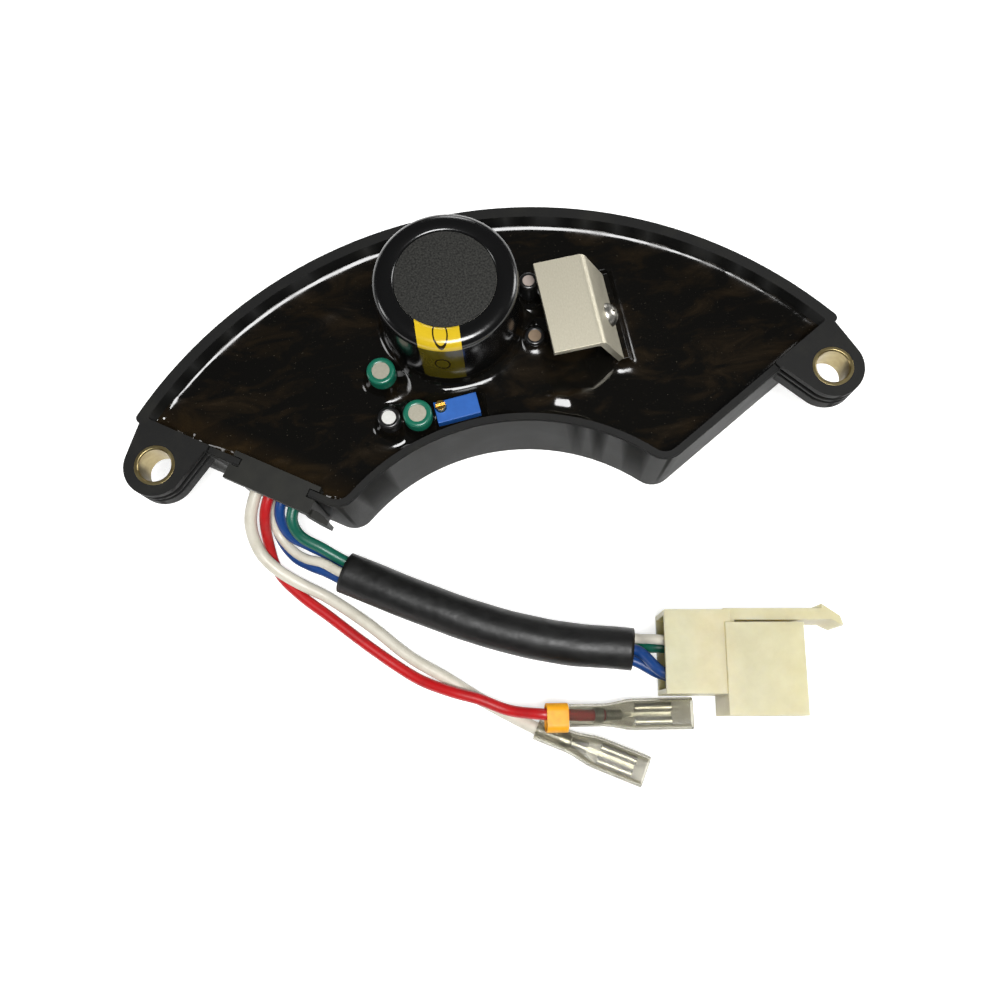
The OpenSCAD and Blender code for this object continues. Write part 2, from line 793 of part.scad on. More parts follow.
module capacitor_end_disc() {
    color("#3a3a39")
    translate([can_x, can_y, board_h + can_h - can_sleeve_t])
        cylinder(r = end_disc_r, h = can_sleeve_t - end_disc_drop);
}

module green_capacitor_rear_can() {
    color("#c8c6bd")
    translate([green_rear_x, green_rear_y, 0])
        small_can(green_r, green_h, 0);
}

module green_capacitor_rear_sleeve() {
    color("#146e50")
    translate([green_rear_x, green_rear_y, 0])
        small_sleeve(green_r, green_h, 0);
}

module green_capacitor_front_can() {
    color("#c8c6bd")
    translate([green_front_x, green_front_y, 0])
        small_can(green_r, green_h, 0);
}

module green_capacitor_front_sleeve() {
    color("#146e50")
    translate([green_front_x, green_front_y, 0])
        small_sleeve(green_r, green_h, 0);
}

module black_capacitor_can() {
    color("#c8c6bd")
    translate([black_x, black_y, 0])
        small_can(black_r, black_h, 0);
}

module black_capacitor_sleeve() {
    color("#1d1d1d")
    translate([black_x, black_y, 0])
        small_sleeve(black_r, black_h, 0);
}

module slim_capacitor_can() {
    color("#b3a39c")
    translate([slim_x, slim_y, 0])
        small_can(slim_r, slim_h, slim_lift);
}

module slim_capacitor_sleeve() {
    color("#1d1d1d")
    translate([slim_x, slim_y, 0])
        small_sleeve(slim_r, slim_h, slim_lift);
}

module low_capacitor_can() {
    color("#a5927f")
    translate([low_x, low_y, 0])
        small_can(low_r, low_h, 0);
}

module low_capacitor_sleeve() {
    color("#1d1d1d")
    translate([low_x, low_y, 0])
        small_sleeve(low_r, low_h, 0);
}

// Frame of the trimmer: its centre on the board's upper face
module at_trimmer() {
    translate([trim_x, trim_y, board_h])
        rotate(trim_angle)
            children();
}

// Frame of the adjuster screw at the trimmer's rear left corner, at the trimmer's top
module at_adjuster() {
    at_trimmer()
        translate([adjuster_inset - trim_l / 2, trim_w / 2 - adjuster_inset, trim_h])
            children();
}

module trimmer_body() {
    foot = adjuster_r / 2;
    color("#2f6fc4")
    difference() {
        at_trimmer()
            translate([-trim_l / 2, -trim_w / 2, 0])
                cube([trim_l, trim_w, trim_h]);
        at_trimmer()
            translate([foot * 2 - trim_l / 2, -trim_w, -cut])
                cube([trim_l - foot * 4, 2 * trim_w, cut + foot]);
        at_adjuster()
            translate([0, 0, -adjuster_depth])
                cylinder(r = adjuster_r + adjuster_gap, h = adjuster_depth + cut);
    }
}

module trimmer_screw() {
    color("#c9a24e")
    at_adjuster()
        difference() {
            translate([0, 0, adjuster_gap - adjuster_depth])
                cylinder(r = adjuster_r, h = adjuster_depth - adjuster_gap + adjuster_out);
            translate([-2 * adjuster_r, -slot_w / 2, adjuster_out - slot_d])
                cube([4 * adjuster_r, slot_w, slot_d + cut]);
        }
}

module trimmer_pin_row(top) {
    at_trimmer()
        for (i = [-1, 0, 1])
            translate([i * chip_pitch, 0, -board_t - lead_out])
                cylinder(r = small_lead_r, h = board_t + lead_out + top);
}

module trimmer_pins() {
    color("#b8b4a8")
    trimmer_pin_row(adjuster_r / 2);
}

// Frame of the bracket: x across the bend, y along it
module at_bracket() {
    translate([bracket_x, bracket_y, 0])
        rotate(bracket_angle)
            children();
}

// Centre of the bend, so that plate and flange meet it tangentially
bend_back = bend_r * tan((90 - flange_lean) / 2);
bend_u = bracket_bend - bend_back;
bend_z = bracket_top - bend_r;

// Frame of the flange: x out of its outer face from the bend's centre, y up the flange, z across
module at_flange() {
    at_bracket()
        translate([bend_u, bracket_front + bracket_w, bend_z])
            rotate([90, 0, 0])
                rotate(flange_lean)
                    children();
}

module bracket_profile() {
    far = 2 * bend_r;
    translate([bracket_start, bracket_top - sheet_t])
        square([bend_u - bracket_start, sheet_t]);
    translate([bend_u, bend_z]) {
        difference() {
            intersection() {
                circle(bend_r);
                polygon([
                    [0, 0], far * [cos(flange_lean - lap_angle), sin(flange_lean - lap_angle)], [far, far],
                    [-far * sin(lap_angle), far]
                ]);
            }
            circle(bend_r - sheet_t);
        }
        rotate(flange_lean)
            translate([bend_r - sheet_t, -flange_len])
                square([sheet_t, flange_len]);
    }
}

module bracket_sheet() {
    at_bracket()
        translate([0, bracket_front + bracket_w, 0])
            rotate([90, 0, 0])
                linear_extrude(bracket_w)
                    bracket_profile();
}

// Frame of the bracket screw: x along the screw, out of the flange's outer face
module at_screw() {
    at_flange()
        translate([bend_r, -screw_down, bracket_w - screw_across])
            rotate([0, 90, 0])
                children();
}

module heatsink_bracket() {
    color("#dcd7c4")
    difference() {
        bracket_sheet();
        at_screw()
            translate([0, 0, -sheet_t - cut])
                cylinder(r = screw_r + wire_gap, h = sheet_t + 2 * cut);
    }
}

module bracket_screw() {
    dome_r = (screw_head_r * screw_head_r + screw_head_h * screw_head_h) / (2 * screw_head_h);
    color("#b9b7b0")
    at_screw()
        difference() {
            union() {
                rotate_extrude()
                    intersection() {
                        translate([0, screw_head_h - dome_r])
                            circle(dome_r);
                        square([screw_head_r, screw_head_h]);
                    }
                translate([0, 0, -sheet_t - transistor_t - nut_t])
                    cylinder(r = screw_r, h = sheet_t + transistor_t + nut_t);
            }
            for (a = [0, 90])
                rotate(a)
                    translate([-screw_head_r * recess_share, -slot_w / 2, screw_head_h / 2])
                        cube([screw_head_r * recess_share * 2, slot_w, screw_head_h]);
        }
}

module bracket_nut() {
    color("#b9b7b0")
    at_screw()
        translate([0, 0, -sheet_t - transistor_t - nut_t])
            difference() {
                cylinder(r = nut_af / sqrt(3), h = nut_t, $fn = 6);
                translate([0, 0, -cut])
                    cylinder(r = screw_r, h = nut_t + 2 * cut);
            }
}

module transistor_space() {
    mid = bend_r - sheet_t - transistor_t / 2;
    low = screw_down - transistor_hole + transistor_l;
    at_flange() {
        translate([
            mid - transistor_t / 2, -low, bracket_w - screw_across - transistor_w / 2
        ])
            cube([transistor_t, transistor_l, transistor_w]);
    }
    at_bracket()
        for (i = [-1, 0, 1])
            translate([
                bend_u + mid * cos(flange_lean) + (low - cut) * sin(flange_lean),
                bracket_front + screw_across + i * chip_pitch,
                board_bottom - lead_out
            ])
                cylinder(
                    r = small_lead_r,
                    h = bend_z - (low - cut) * cos(flange_lean) - board_bottom + lead_out
                );
}

module power_transistor() {
    color("#262626")
    difference() {
        transistor_space();
        at_screw()
            translate([0, 0, -sheet_t - transistor_t - cut])
                cylinder(r = screw_r + wire_gap, h = transistor_t + 2 * cut);
    }
}

// A component with axial leads that lies on the board
module axial(r, l, lead_r, pitch) {
    translate([0, 0, board_h + r + wire_gap])
        rotate([0, 90, 0]) {
            translate([0, 0, -l / 2])
                cylinder(r = r, h = l);
            translate([0, 0, -pitch / 2])
                cylinder(r = lead_r, h = pitch);
        }
    for (side = [-1, 1])
        translate([side * pitch / 2, 0, board_bottom - lead_out])
            cylinder(r = lead_r, h = board_t + lead_out + r + wire_gap);
}

module rectifier_diodes() {
    color("#202020")
    for (i = [0 : 3])
        let (a = diode_start_angle + i * diode_step_angle)
            translate(on_arc(mid_r, a))
                rotate(90 - a)
                    axial(diode_r, diode_l, diode_lead_r, leg_pitch);
}

module resistors() {
    color("#c9b48a")
    for (i = [0 : 3])
        let (a = -post_inner_angle - (i + 1) * resistor_step_angle)
            translate(on_arc(mid_r, a))
                rotate(90 - a)
                    axial(resistor_r, resistor_l, small_lead_r, leg_pitch);
}

module power_resistors() {
    far_r = pocket_r - board_gap - 3 * power_resistor_r;
    near_r = pocket_in_r + board_gap + 2 * power_resistor_r;
    color("#8f9a86")
    for (place = [[far_r, power_resistor_shares[0]], [near_r, power_resistor_shares[1]]])
        translate(on_arc(place[0], place[1] * post_inner_angle))
            rotate(-place[1] * post_inner_angle)
                axial(power_resistor_r, power_resistor_l, diode_lead_r, power_leg_pitch);
}

module control_chip() {
    color("#242424")
    translate(on_arc(pocket_r - board_gap - chip_w, post_inner_angle * chip_place_share)) {
        translate([-chip_l / 2, -chip_w / 2, board_h])
            cube([chip_l, chip_w, chip_t]);
        for (i = [0 : chip_leads - 1], side = [-1, 1])
            translate([
                (i - (chip_leads - 1) / 2) * chip_pitch,
                side * chip_w * chip_row_share,
                board_bottom - lead_out
            ])
                cylinder(r = small_lead_r, h = board_t + lead_out);
    }
}

// Everything that stands on the board
module board_parts() {
    translate([can_x, can_y, board_h])
        cylinder(r = can_r + can_sleeve_t, h = can_h / 2);
    can_pins();
    small_space(green_rear_x, green_rear_y, green_r, green_h, 0);
    small_space(green_front_x, green_front_y, green_r, green_h, 0);
    small_space(black_x, black_y, black_r, black_h, 0);
    small_space(slim_x, slim_y, slim_r, slim_h, slim_lift);
    small_space(low_x, low_y, low_r, low_h, 0);
    at_trimmer()
        translate([-trim_l / 2, -trim_w / 2, 0])
            cube([trim_l, trim_w, trim_h]);
    trimmer_pin_row(0);
    bracket_sheet();
    transistor_space();
    bracket_screw();
    bracket_nut();
    rectifier_diodes();
    resistors();
    power_resistors();
    control_chip();
}

module board_slab() {
    translate([0, 0, board_bottom])
        linear_extrude(board_t)
            half_moon(
                pocket_r - board_gap, pocket_in_r + board_gap, pocket_set + board_gap,
                pocket_corner - board_gap / 2, pocket_nub
            );
}

module circuit_board() {
    color("#3f6b3a")
    difference() {
        board_slab();
        board_parts();
        posts();
    }
}

module potting() {
    color("#1c1a17")
    difference() {
        translate([0, 0, floor_t])
            linear_extrude(potting_h - floor_t)
                pocket_outline();
        at_end(-1)
            translate([clip_start, pocket_set - cut, slot_sill])
                cube([clip_end - clip_start, clip_back - pocket_set + cut, potting_h]);
        board_slab();
        posts();
        board_parts();
    }
}

// Tube along a list of points, made of flat rings
function unit(v) = v / norm(v);
function heading(p, i) = unit(p[min(i + 1, len(p) - 1)] - p[max(i - 1, 0)]);
function aside(t) = unit(cross(t, [0, 0, 1]));
function ring(p, i, r, sides) =
    let (t = heading(p, i), s = aside(t), u = cross(s, t))
    [for (k = [0 : sides - 1]) p[i] + r * (cos(360 * k / sides) * s + sin(360 * k / sides) * u)];

module tube(p, r, sides) {
    n = len(p);
    last = (n - 1) * sides;
    polyhedron(
        points = [for (i = [0 : n - 1]) each ring(p, i, r, sides)],
        faces = concat(
            [[for (k = [sides - 1 : -1 : 0]) k]],
            [[for (k = [0 : sides - 1]) last + k]],
            [
                for (i = [0 : n - 2], k = [0 : sides - 1])
                    let (a = i * sides, b = a + sides, m = (k + 1) % sides)
                    [a + k, a + m, b + m, b + k]
            ]
        ),
        convexity = 6
    );
}

// Closed skin between an outer and an inner run of rings
module skin(outer, inner, sides) {
    count = len(outer);
    last = count - sides;
    polyhedron(
        points = concat(outer, inner),
        faces = [
            for (k = [0 : sides - 1])
                let (m = (k + 1) % sides)
                each concat(
                    [[k, count + k, count + m, m]],
                    [[last + k, last + m, count + last + m, count + last + k]],
                    [for (a = [0 : sides : last - sides]) [a + k, a + m, a + sides + m, a + sides + k]],
                    [
                        for (a = [count : sides : count + last - sides])
                            [a + k, a + sides + k, a + sides + m, a + m]
                    ]
                )
        ],
        convexity = 6
    );
}

// First stretch of a wire, straight through its hole in the clip plate
function exit_points(s, z) = [left_end(s, clip_back, z), left_end(s, clip_front, z)];

// Stretch of one strand inside the sleeve, turning from its first to its second angle
function strand(angles) = [
    for (i = [0 : len(sleeve_points) - 1])
        let (a = angles[0] + (angles[1] - angles[0]) * i / (len(sleeve_points) - 1))
        sleeve_points[i] + strand_r * (sin(a) * [0, 0, 1] - cos(a) * aside(heading(sleeve_points, i)))
];

// Point in the connector's frame: x forwards from the rear face, y to its left
function in_connector(x, y, z) = [
    conn_x + x * cos(conn_angle) - y * sin(conn_angle),
    conn_y + x * sin(conn_angle) + y * cos(conn_angle),
    z
];

contact_low = shell_h / 2 - contact_row / 2;
contact_high = shell_h / 2 + contact_row / 2;
contact_left = contact_shift + contact_column / 2;
contact_right = contact_shift - contact_column / 2;

// Fall of a boot's neck, and the point on its axis at distance x from its rear end
function neck_fall(rise) = atan(rise / (boot_neck_l + boot_flare_l));
function in_boot(at, angle, rise, x) = [
    at[0] + x * cos(neck_fall(rise)) * cos(angle),
    at[1] + x * cos(neck_fall(rise)) * sin(angle),
    boot_h / 2 + rise - x * sin(neck_fall(rise))
];

crimp_start = boot_neck_l + wire_gap * 5;
wire_stop = crimp_start - wire_gap;
// Where the thin wires stop short of the connector's contacts
strand_stop = skirt_depth - 3 * wire_gap;

module wire_white_power() {
    color("#e1dccd")
    tube(concat(
        exit_points(white_s, upper_row_z), white_points,
        [
            in_boot(boot_white_at, boot_white_angle, boot_white_rise, 0),
            in_boot(boot_white_at, boot_white_angle, boot_white_rise, wire_stop)
        ]
    ), white_r, wire_sides);
}

module wire_red_power() {
    color("#d81e1e")
    tube(concat(
        exit_points(red_s, upper_row_z), red_points,
        [
            in_boot(boot_red_at, boot_red_angle, boot_red_rise, boot_neck_l / 4),
            in_boot(boot_red_at, boot_red_angle, boot_red_rise, wire_stop)
        ]
    ), red_r, wire_sides);
}

module wire_white_sense() {
    color("#dedad0")
    tube(concat(
        exit_points(white_sense_s, middle_row_z), white_sense_points, strand(white_sense_angles),
        [
            in_connector(0, contact_left + white_sense_r, contact_high),
            in_connector(strand_stop, contact_left, contact_high)
        ]
    ), white_sense_r, wire_sides);
}

module wire_blue_1() {
    color("#1a3f96")
    tube(concat(
        exit_points(blue_1_s, upper_row_z), blue_1_points, strand(blue_1_angles),
        [
            in_connector(0, contact_right + blue_r, contact_low),
            in_connector(strand_stop, contact_right, contact_low)
        ]
    ), blue_r, wire_sides);
}

module wire_blue_2() {
    color("#1a3f96")
    tube(concat(
        exit_points(blue_2_s, lower_row_z), blue_2_points, strand(blue_2_angles),
        [
            in_connector(0, contact_right + blue_r, contact_high),
            in_connector(strand_stop, contact_right, contact_high)
        ]
    ), blue_r, wire_sides);
}

module wire_green() {
    color("#00664f")
    tube(concat(
        exit_points(green_wire_s, upper_row_z), green_points, strand(green_wire_angles),
        [in_connector(0, contact_left, contact_low), in_connector(strand_stop, contact_left, contact_low)]
    ), green_wire_r, wire_sides);
}

module harness_sleeve() {
    run = [0 : len(sleeve_points) - 1];
    color("#101010")
    skin(
        [for (i = run) each ring(sleeve_points, i, sleeve_r, sleeve_sides)],
        [for (i = run) each ring(sleeve_points, i, sleeve_r - sleeve_t, sleeve_sides)],
        sleeve_sides
    );
}

// Frame of the connector
module at_connector() {
    translate([conn_x, conn_y, 0])
        rotate(conn_angle)
            children();
}

// One contact: crimp barrel, then blade
module contact(grow) {
    translate([skirt_depth, 0, 0])
        rotate([0, 90, 0])
            cylinder(r = blue_r + grow, h = blade_w / 2 + grow);
    translate([skirt_depth + blade_w / 2 - blade_t, -blade_w / 2 - grow, -blade_t / 2 - grow])
        cube([
            conn_rear_l - skirt_depth - blade_w / 2 + blade_t + blade_l,
            blade_w + 2 * grow, blade_t + 2 * grow
        ]);
}

module contacts(grow) {
    for (y = [contact_left, contact_right], z = [contact_low, contact_high])
        translate([0, y, z])
            contact(grow);
}

module connector_contacts() {
    color("#c2a565")
    at_connector()
        contacts(0);
}

module connector_housing() {
    rear_z = (shell_h - conn_rear_h) / 2;
    shell_x = conn_rear_l - conn_wall;
    shell_left = shell_shift + shell_w / 2;
    latch_y = shell_left + latch_gap;
    tip_x = shell_x + shell_l + latch_reach;
    latch_h = conn_rear_h - 2 * conn_wall;
    color("#d7d2b4")
    at_connector()
        difference() {
            union() {
                translate([0, -conn_rear_w / 2, rear_z])
                    cube([conn_rear_l, conn_rear_w, conn_rear_h]);
                translate([shell_x, shell_shift - shell_w / 2, 0])
                    cube([shell_l, shell_w, shell_h]);
                translate([0, 0, (shell_h - latch_h) / 2])
                    linear_extrude(latch_h)
                        polygon([
                            [shell_x, shell_left - conn_wall],
                            [shell_x + 2 * conn_wall, shell_left - conn_wall],
                            [shell_x + 2 * conn_wall, latch_y], [tip_x - latch_t, latch_y],
                            [tip_x, latch_y - latch_t / 2],
                            [tip_x - latch_t / 4, latch_y + latch_t / 3],
                            [tip_x - latch_reach / 2, latch_y + latch_t + latch_barb],
                            [tip_x - latch_reach / 2, latch_y + latch_t], [shell_x, latch_y + latch_t]
                        ]);
            }
            translate([-cut, conn_wall - conn_rear_w / 2, rear_z + conn_wall])
                cube([skirt_depth + cut, conn_rear_w - 2 * conn_wall, conn_rear_h - 2 * conn_wall]);
            translate([conn_rear_l + conn_wall, shell_shift + conn_wall - shell_w / 2, conn_wall])
                cube([shell_l, shell_w - 2 * conn_wall, shell_h - 2 * conn_wall]);
            contacts(wire_gap);
        }
}

// One section of a boot: a rectangle of width w and height h with corners of radius r
boot_sides = 32;
function boot_ring(x, z, w, h, r) = [
    for (k = [0 : boot_sides - 1])
        let (a = 360 * (k + 1 / 2) / boot_sides)
        [x, -sign(cos(a)) * (w / 2 - r) - r * cos(a), z + sign(sin(a)) * (h / 2 - r) + r * sin(a)]
];

// Run of sections of a boot, all made smaller by inset; the flare eases from round to wide
function boot_rings(length, rise, inset) =
    let (
        flare = boot_neck_l + boot_flare_l,
        r = boot_neck_r - inset,
        w = boot_w - 2 * inset,
        h = boot_h - 2 * inset,
        c = boot_corner_r - inset / 2
    )
    concat(
        boot_ring(0, boot_h / 2 + rise, 2 * r, 2 * r, r),
        [
            for (i = [0 : 4])
                let (f = i / 4, g = f * f * (3 - 2 * f))
                each boot_ring(
                    boot_neck_l + f * boot_flare_l, boot_h / 2 + rise * boot_flare_l / flare * (1 - f),
                    2 * r + (w - 2 * r) * g, 2 * r + (h - 2 * r) * g, r + (c - r) * g
                )
        ],
        boot_ring(length, boot_h / 2, w, h, c)
    );

module boot(at, angle, rise, length) {
    translate([at[0], at[1], 0])
        rotate(angle)
            skin(boot_rings(length, rise, 0), boot_rings(length, rise, boot_wall), boot_sides);
}

module boot_red() {
    color("#4b4a3c", 0.7)
    boot(boot_red_at, boot_red_angle, boot_red_rise, boot_red_l);
}

module boot_white() {
    color("#4b4a3c", 0.7)
    boot(boot_white_at, boot_white_angle, boot_white_rise, boot_white_l);
}

// Place in the boot's plane of a point of the sloping crimp
function dip(x, z, fall, z0) = [x * cos(fall) + z * sin(fall), z0 - x * sin(fall) + z * cos(fall)];

// Push-on receptacle with its two crimps, for a wire of radius r
module terminal(at, angle, rise, r) {
    flare = boot_neck_l + boot_flare_l;
    fall = neck_fall(rise);
    floor_z = boot_wall + wire_gap;
    hoop = r + wire_gap + tab_t;
    tab_x = flare + tab_t;
    curl = tab_h / 2;
    neck_z = boot_h / 2 + rise;
    strap_x = crimp_start + crimp_l - tab_t;
    strap_w = r * 3 / 4;
    translate([at[0], at[1], 0])
        rotate(angle) {
            translate([0, 0, neck_z])
                rotate([0, fall, 0])
                    difference() {
                        union() {
                            translate([crimp_start - grip_l - tab_t * 2, 0, 0])
                                rotate([0, 90, 0])
                                    cylinder(r = hoop, h = grip_l);
                            translate([crimp_start, 0, 0])
                                rotate([0, 90, 0])
                                    cylinder(r = r, h = crimp_l);
                            translate([crimp_start - grip_l, -r / 2, tab_t / 2 - hoop])
                                cube([grip_l + crimp_l, r, hoop]);
                        }
                        rotate([0, 90, 0])
                            cylinder(r = r + wire_gap, h = crimp_start);
                    }
            translate([0, strap_w / 2, 0])
                rotate([90, 0, 0])
                    linear_extrude(strap_w)
                        polygon([
                            dip(strap_x, tab_t / 2 - hoop, fall, neck_z),
                            [tab_x + tab_t, floor_z + tab_t / 4], [tab_x + tab_t, floor_z + tab_t * 3 / 4],
                            dip(strap_x, tab_t * 3 / 2 - hoop, fall, neck_z)
                        ]);
            translate([tab_x, -tab_w / 2 + curl, floor_z + tab_t / 8])
                cube([tab_l, tab_w - 2 * curl, tab_t * 3 / 4]);
            for (side = [-1, 1])
                translate([tab_x, side * (tab_w / 2 - curl), floor_z + curl])
                    rotate([90, 0, 90])
                        linear_extrude(tab_l)
                            difference() {
                                circle(curl, $fn = 32);
                                circle(curl - tab_t, $fn = 32);
                                translate([side > 0 ? -2 * curl : 0, 0])
                                    square([2 * curl, curl / 2]);
                            }
        }
}

module terminal_red() {
    color("#c9c3a8")
    terminal(boot_red_at, boot_red_angle, boot_red_rise, red_r);
}

module terminal_white() {
    color("#c9c3a8")
    terminal(boot_white_at, boot_white_angle, boot_white_rise, white_r);
}

// Racetrack outline of the band
module band_outline(inset) {
    r = band_h / 2 - inset;
    square([band_w - band_h, 2 * r], center = true);
    for (side = [-1, 1])
        translate([side * (band_w - band_h) / 2, 0])
            circle(r);
}

module yellow_band() {
    color("#f0a818")
    translate(band_at)
        rotate([0, band_tilt, boot_red_angle])
            translate([-band_l / 2, 0, 0])
                rotate([90, 0, 90])
                    linear_extrude(band_l)
                        difference() {
                            band_outline(0);
                            band_outline(band_t);
                        }
}

case();
cable_clip_plate();
potting();
circuit_board();
bushing_left();
bushing_right();
capacitor_can();
capacitor_sleeve();
capacitor_end_disc();
green_capacitor_rear_can();
green_capacitor_rear_sleeve();
green_capacitor_front_can();
green_capacitor_front_sleeve();
black_capacitor_can();
black_capacitor_sleeve();
slim_capacitor_can();
slim_capacitor_sleeve();
low_capacitor_can();
low_capacitor_sleeve();
trimmer_body();
trimmer_screw();
trimmer_pins();
heatsink_bracket();
bracket_screw();
bracket_nut();
power_transistor();
rectifier_diodes();
resistors();
power_resistors();
control_chip();
wire_white_power();
wire_red_power();
wire_white_sense();
wire_blue_1();
wire_blue_2();
wire_green();
harness_sleeve();
connector_housing();
connector_contacts();
terminal_red();
terminal_white();
boot_red();
boot_white();
yellow_band();
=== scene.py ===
import math

import bmesh
import bpy
from mathutils import Matrix, Vector, noise


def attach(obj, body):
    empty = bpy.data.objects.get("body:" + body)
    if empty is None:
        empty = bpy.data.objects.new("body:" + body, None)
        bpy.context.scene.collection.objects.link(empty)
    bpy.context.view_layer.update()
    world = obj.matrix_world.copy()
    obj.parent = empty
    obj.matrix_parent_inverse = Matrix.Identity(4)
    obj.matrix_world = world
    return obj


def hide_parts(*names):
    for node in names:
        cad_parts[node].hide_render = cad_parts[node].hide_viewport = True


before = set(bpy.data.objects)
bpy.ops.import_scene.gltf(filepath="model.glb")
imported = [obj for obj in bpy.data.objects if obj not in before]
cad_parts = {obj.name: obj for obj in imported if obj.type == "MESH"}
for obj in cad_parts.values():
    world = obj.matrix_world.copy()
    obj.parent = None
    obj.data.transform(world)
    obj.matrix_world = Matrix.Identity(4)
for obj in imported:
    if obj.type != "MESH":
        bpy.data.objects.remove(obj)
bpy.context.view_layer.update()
scene = bpy.context.scene

# Camera.
# The photograph looks almost straight down from about 225 mm, through a short lens,
# tilted a little so that the front walls and the left sides of the tall parts show.
camera = bpy.data.objects.new("camera", bpy.data.cameras.new("camera"))
camera.data.lens = 35.596
camera.data.sensor_width = 36
camera.data.clip_start = 0.01
camera.location = (-0.004003, -0.065732, 0.225066)
camera.rotation_euler = [math.radians(a) for a in (13.4083, 1.5282, -8.2104)]
scene.collection.objects.link(camera)
scene.camera = camera


# Table and light.
# A pale table that the camera sees as white, with the part's soft shadow on it, and a dim room.
# The main lamp hangs overhead, where only the resin's climbing edges mirror it, and low lamps
# around draw the streaks on them; the faces towards the viewer stay dark.
def linear(code):
    """An sRGB hex colour as the linear colour that a socket takes."""
    parts = [int(code[i:i + 2], 16) / 255 for i in (1, 3, 5)]
    return [c / 12.92 if c <= 0.04045 else ((c + 0.055) / 1.055) ** 2.4 for c in parts] + [1.0]


def add(tree, kind, values=None, links=None, **settings):
    """Adds one node with its settings, its values and the sockets that feed it."""
    made = tree.nodes.new("ShaderNode" + kind)
    for name, value in settings.items():
        setattr(made, name, value)
    for name, value in (values or {}).items():
        made.inputs[name].default_value = value
    for name, source in (links or {}).items():
        tree.links.new(source, made.inputs[name])
    return made


def set_down(name, bm, smooth_angle=40):
    """Turns a bmesh into an object in place, with sharp edges above an angle."""
    mesh = bpy.data.meshes.new(name)
    for face in bm.faces:
        face.smooth = True
    bm.to_mesh(mesh)
    bm.free()
    mesh.set_sharp_from_angle(angle=math.radians(smooth_angle))
    piece = bpy.data.objects.new(name, mesh)
    scene.collection.objects.link(piece)
    return piece


bm = bmesh.new()
bmesh.ops.create_grid(bm, x_segments=1, y_segments=1, size=3)
table = set_down("table", bm)
table_top = bpy.data.materials.new("pale_table")
table_top.use_nodes = True
tree = table_top.node_tree
shader = tree.nodes["Principled BSDF"]
shader.inputs["Base Color"].default_value = linear("#dededc")
shader.inputs["Roughness"].default_value = 0.9
ray = add(tree, "LightPath")
seen = add(
    tree, "Math", operation="MAXIMUM", links={0: ray.outputs["Is Camera Ray"], 1: ray.outputs["Is Glossy Ray"]},
)
seen = add(
    tree, "Math", operation="MAXIMUM", links={0: seen.outputs[0], 1: ray.outputs["Is Transmission Ray"]},
)
glow = add(tree, "Math", {1: 0.62}, operation="MULTIPLY", links={0: seen.outputs[0]})
shader.inputs["Emission Color"].default_value = linear("#ffffff")
tree.links.new(glow.outputs[0], shader.inputs["Emission Strength"])
table.data.materials.append(table_top)

room = bpy.data.worlds.new("room")
room.use_nodes = True
room.node_tree.nodes["Background"].inputs["Color"].default_value = linear("#d6d9de")
room.node_tree.nodes["Background"].inputs["Strength"].default_value = 0.07
scene.world = room
scene.view_settings.view_transform = "Standard"

for name, place, size, power in (
    ("lamp_overhead", (0.06, -0.28, 0.95), 0.44, 11.0),
    ("lamp_east", (0.85, 0.22, 0.34), 0.36, 3.0),
    ("lamp_west", (-0.85, 0.12, 0.36), 0.26, 1.2),
    ("lamp_north", (0.12, 0.90, 0.34), 0.26, 1.0),
):
    lamp = bpy.data.lights.new(name, "AREA")
    lamp.shape = "DISK"
    lamp.size = size
    lamp.energy = power
    holder = bpy.data.objects.new(name, lamp)
    holder.location = place
    holder.rotation_euler = (Vector((0, -0.01, 0)) - Vector(place)).to_track_quat("-Z", "Y").to_euler()
    scene.collection.objects.link(holder)


# Wires.
# Six stranded copper leads in soft PVC leave the clip plate: a thick white and a thick red one
# end in push-on terminals, and the four thin ones run through the sleeve to the connector.
def surface(name, code, roughness, metallic=0.0, **sockets):
    """A material with one shader, its constant sockets, and the piece's own coordinates."""
    made = bpy.data.materials.new(name)
    made.use_nodes = True
    body = made.node_tree.nodes["Principled BSDF"]
    body.inputs["Base Color"].default_value = linear(code)
    body.inputs["Roughness"].default_value = roughness
    body.inputs["Metallic"].default_value = metallic
    for key, value in sockets.items():
        body.inputs[key.replace("_", " ")].default_value = value
    return made, made.node_tree, body, add(made.node_tree, "TexCoord").outputs["Object"]


def insulation(name, code, worn_code):
    """Soft PVC: a slightly uneven extruded skin with a dull film where hands have held it."""
    made, tree, body, place = surface(name, code, 0.38, Coat_Weight=0.15, Coat_Roughness=0.25)
    # handling marks about 4 mm across, and drawing ripples about 0.5 mm long
    marks = add(tree, "TexNoise", {"Scale": 260, "Detail": 5, "Roughness": 0.65}, {"Vector": place})
    amount = add(
        tree, "MapRange", {"From Min": 0.45, "From Max": 0.75, "To Max": 0.7},
        {"Value": marks.outputs["Fac"]},
    )
    mixed = add(
        tree, "Mix", {"A": linear(code), "B": linear(worn_code)},
        {"Factor": amount.outputs[0]}, data_type="RGBA",
    )
    tree.links.new(mixed.outputs["Result"], body.inputs["Base Color"])
    dull = add(tree, "MapRange", {"To Min": 0.30, "To Max": 0.52}, {"Value": marks.outputs["Fac"]})
    tree.links.new(dull.outputs[0], body.inputs["Roughness"])
    ripple = add(tree, "TexNoise", {"Scale": 1900, "Detail": 2}, {"Vector": place})
    bump = add(tree, "Bump", {"Strength": 0.12, "Distance": 0.0002}, {"Height": ripple.outputs["Fac"]})
    tree.links.new(bump.outputs[0], body.inputs["Normal"])
    return made


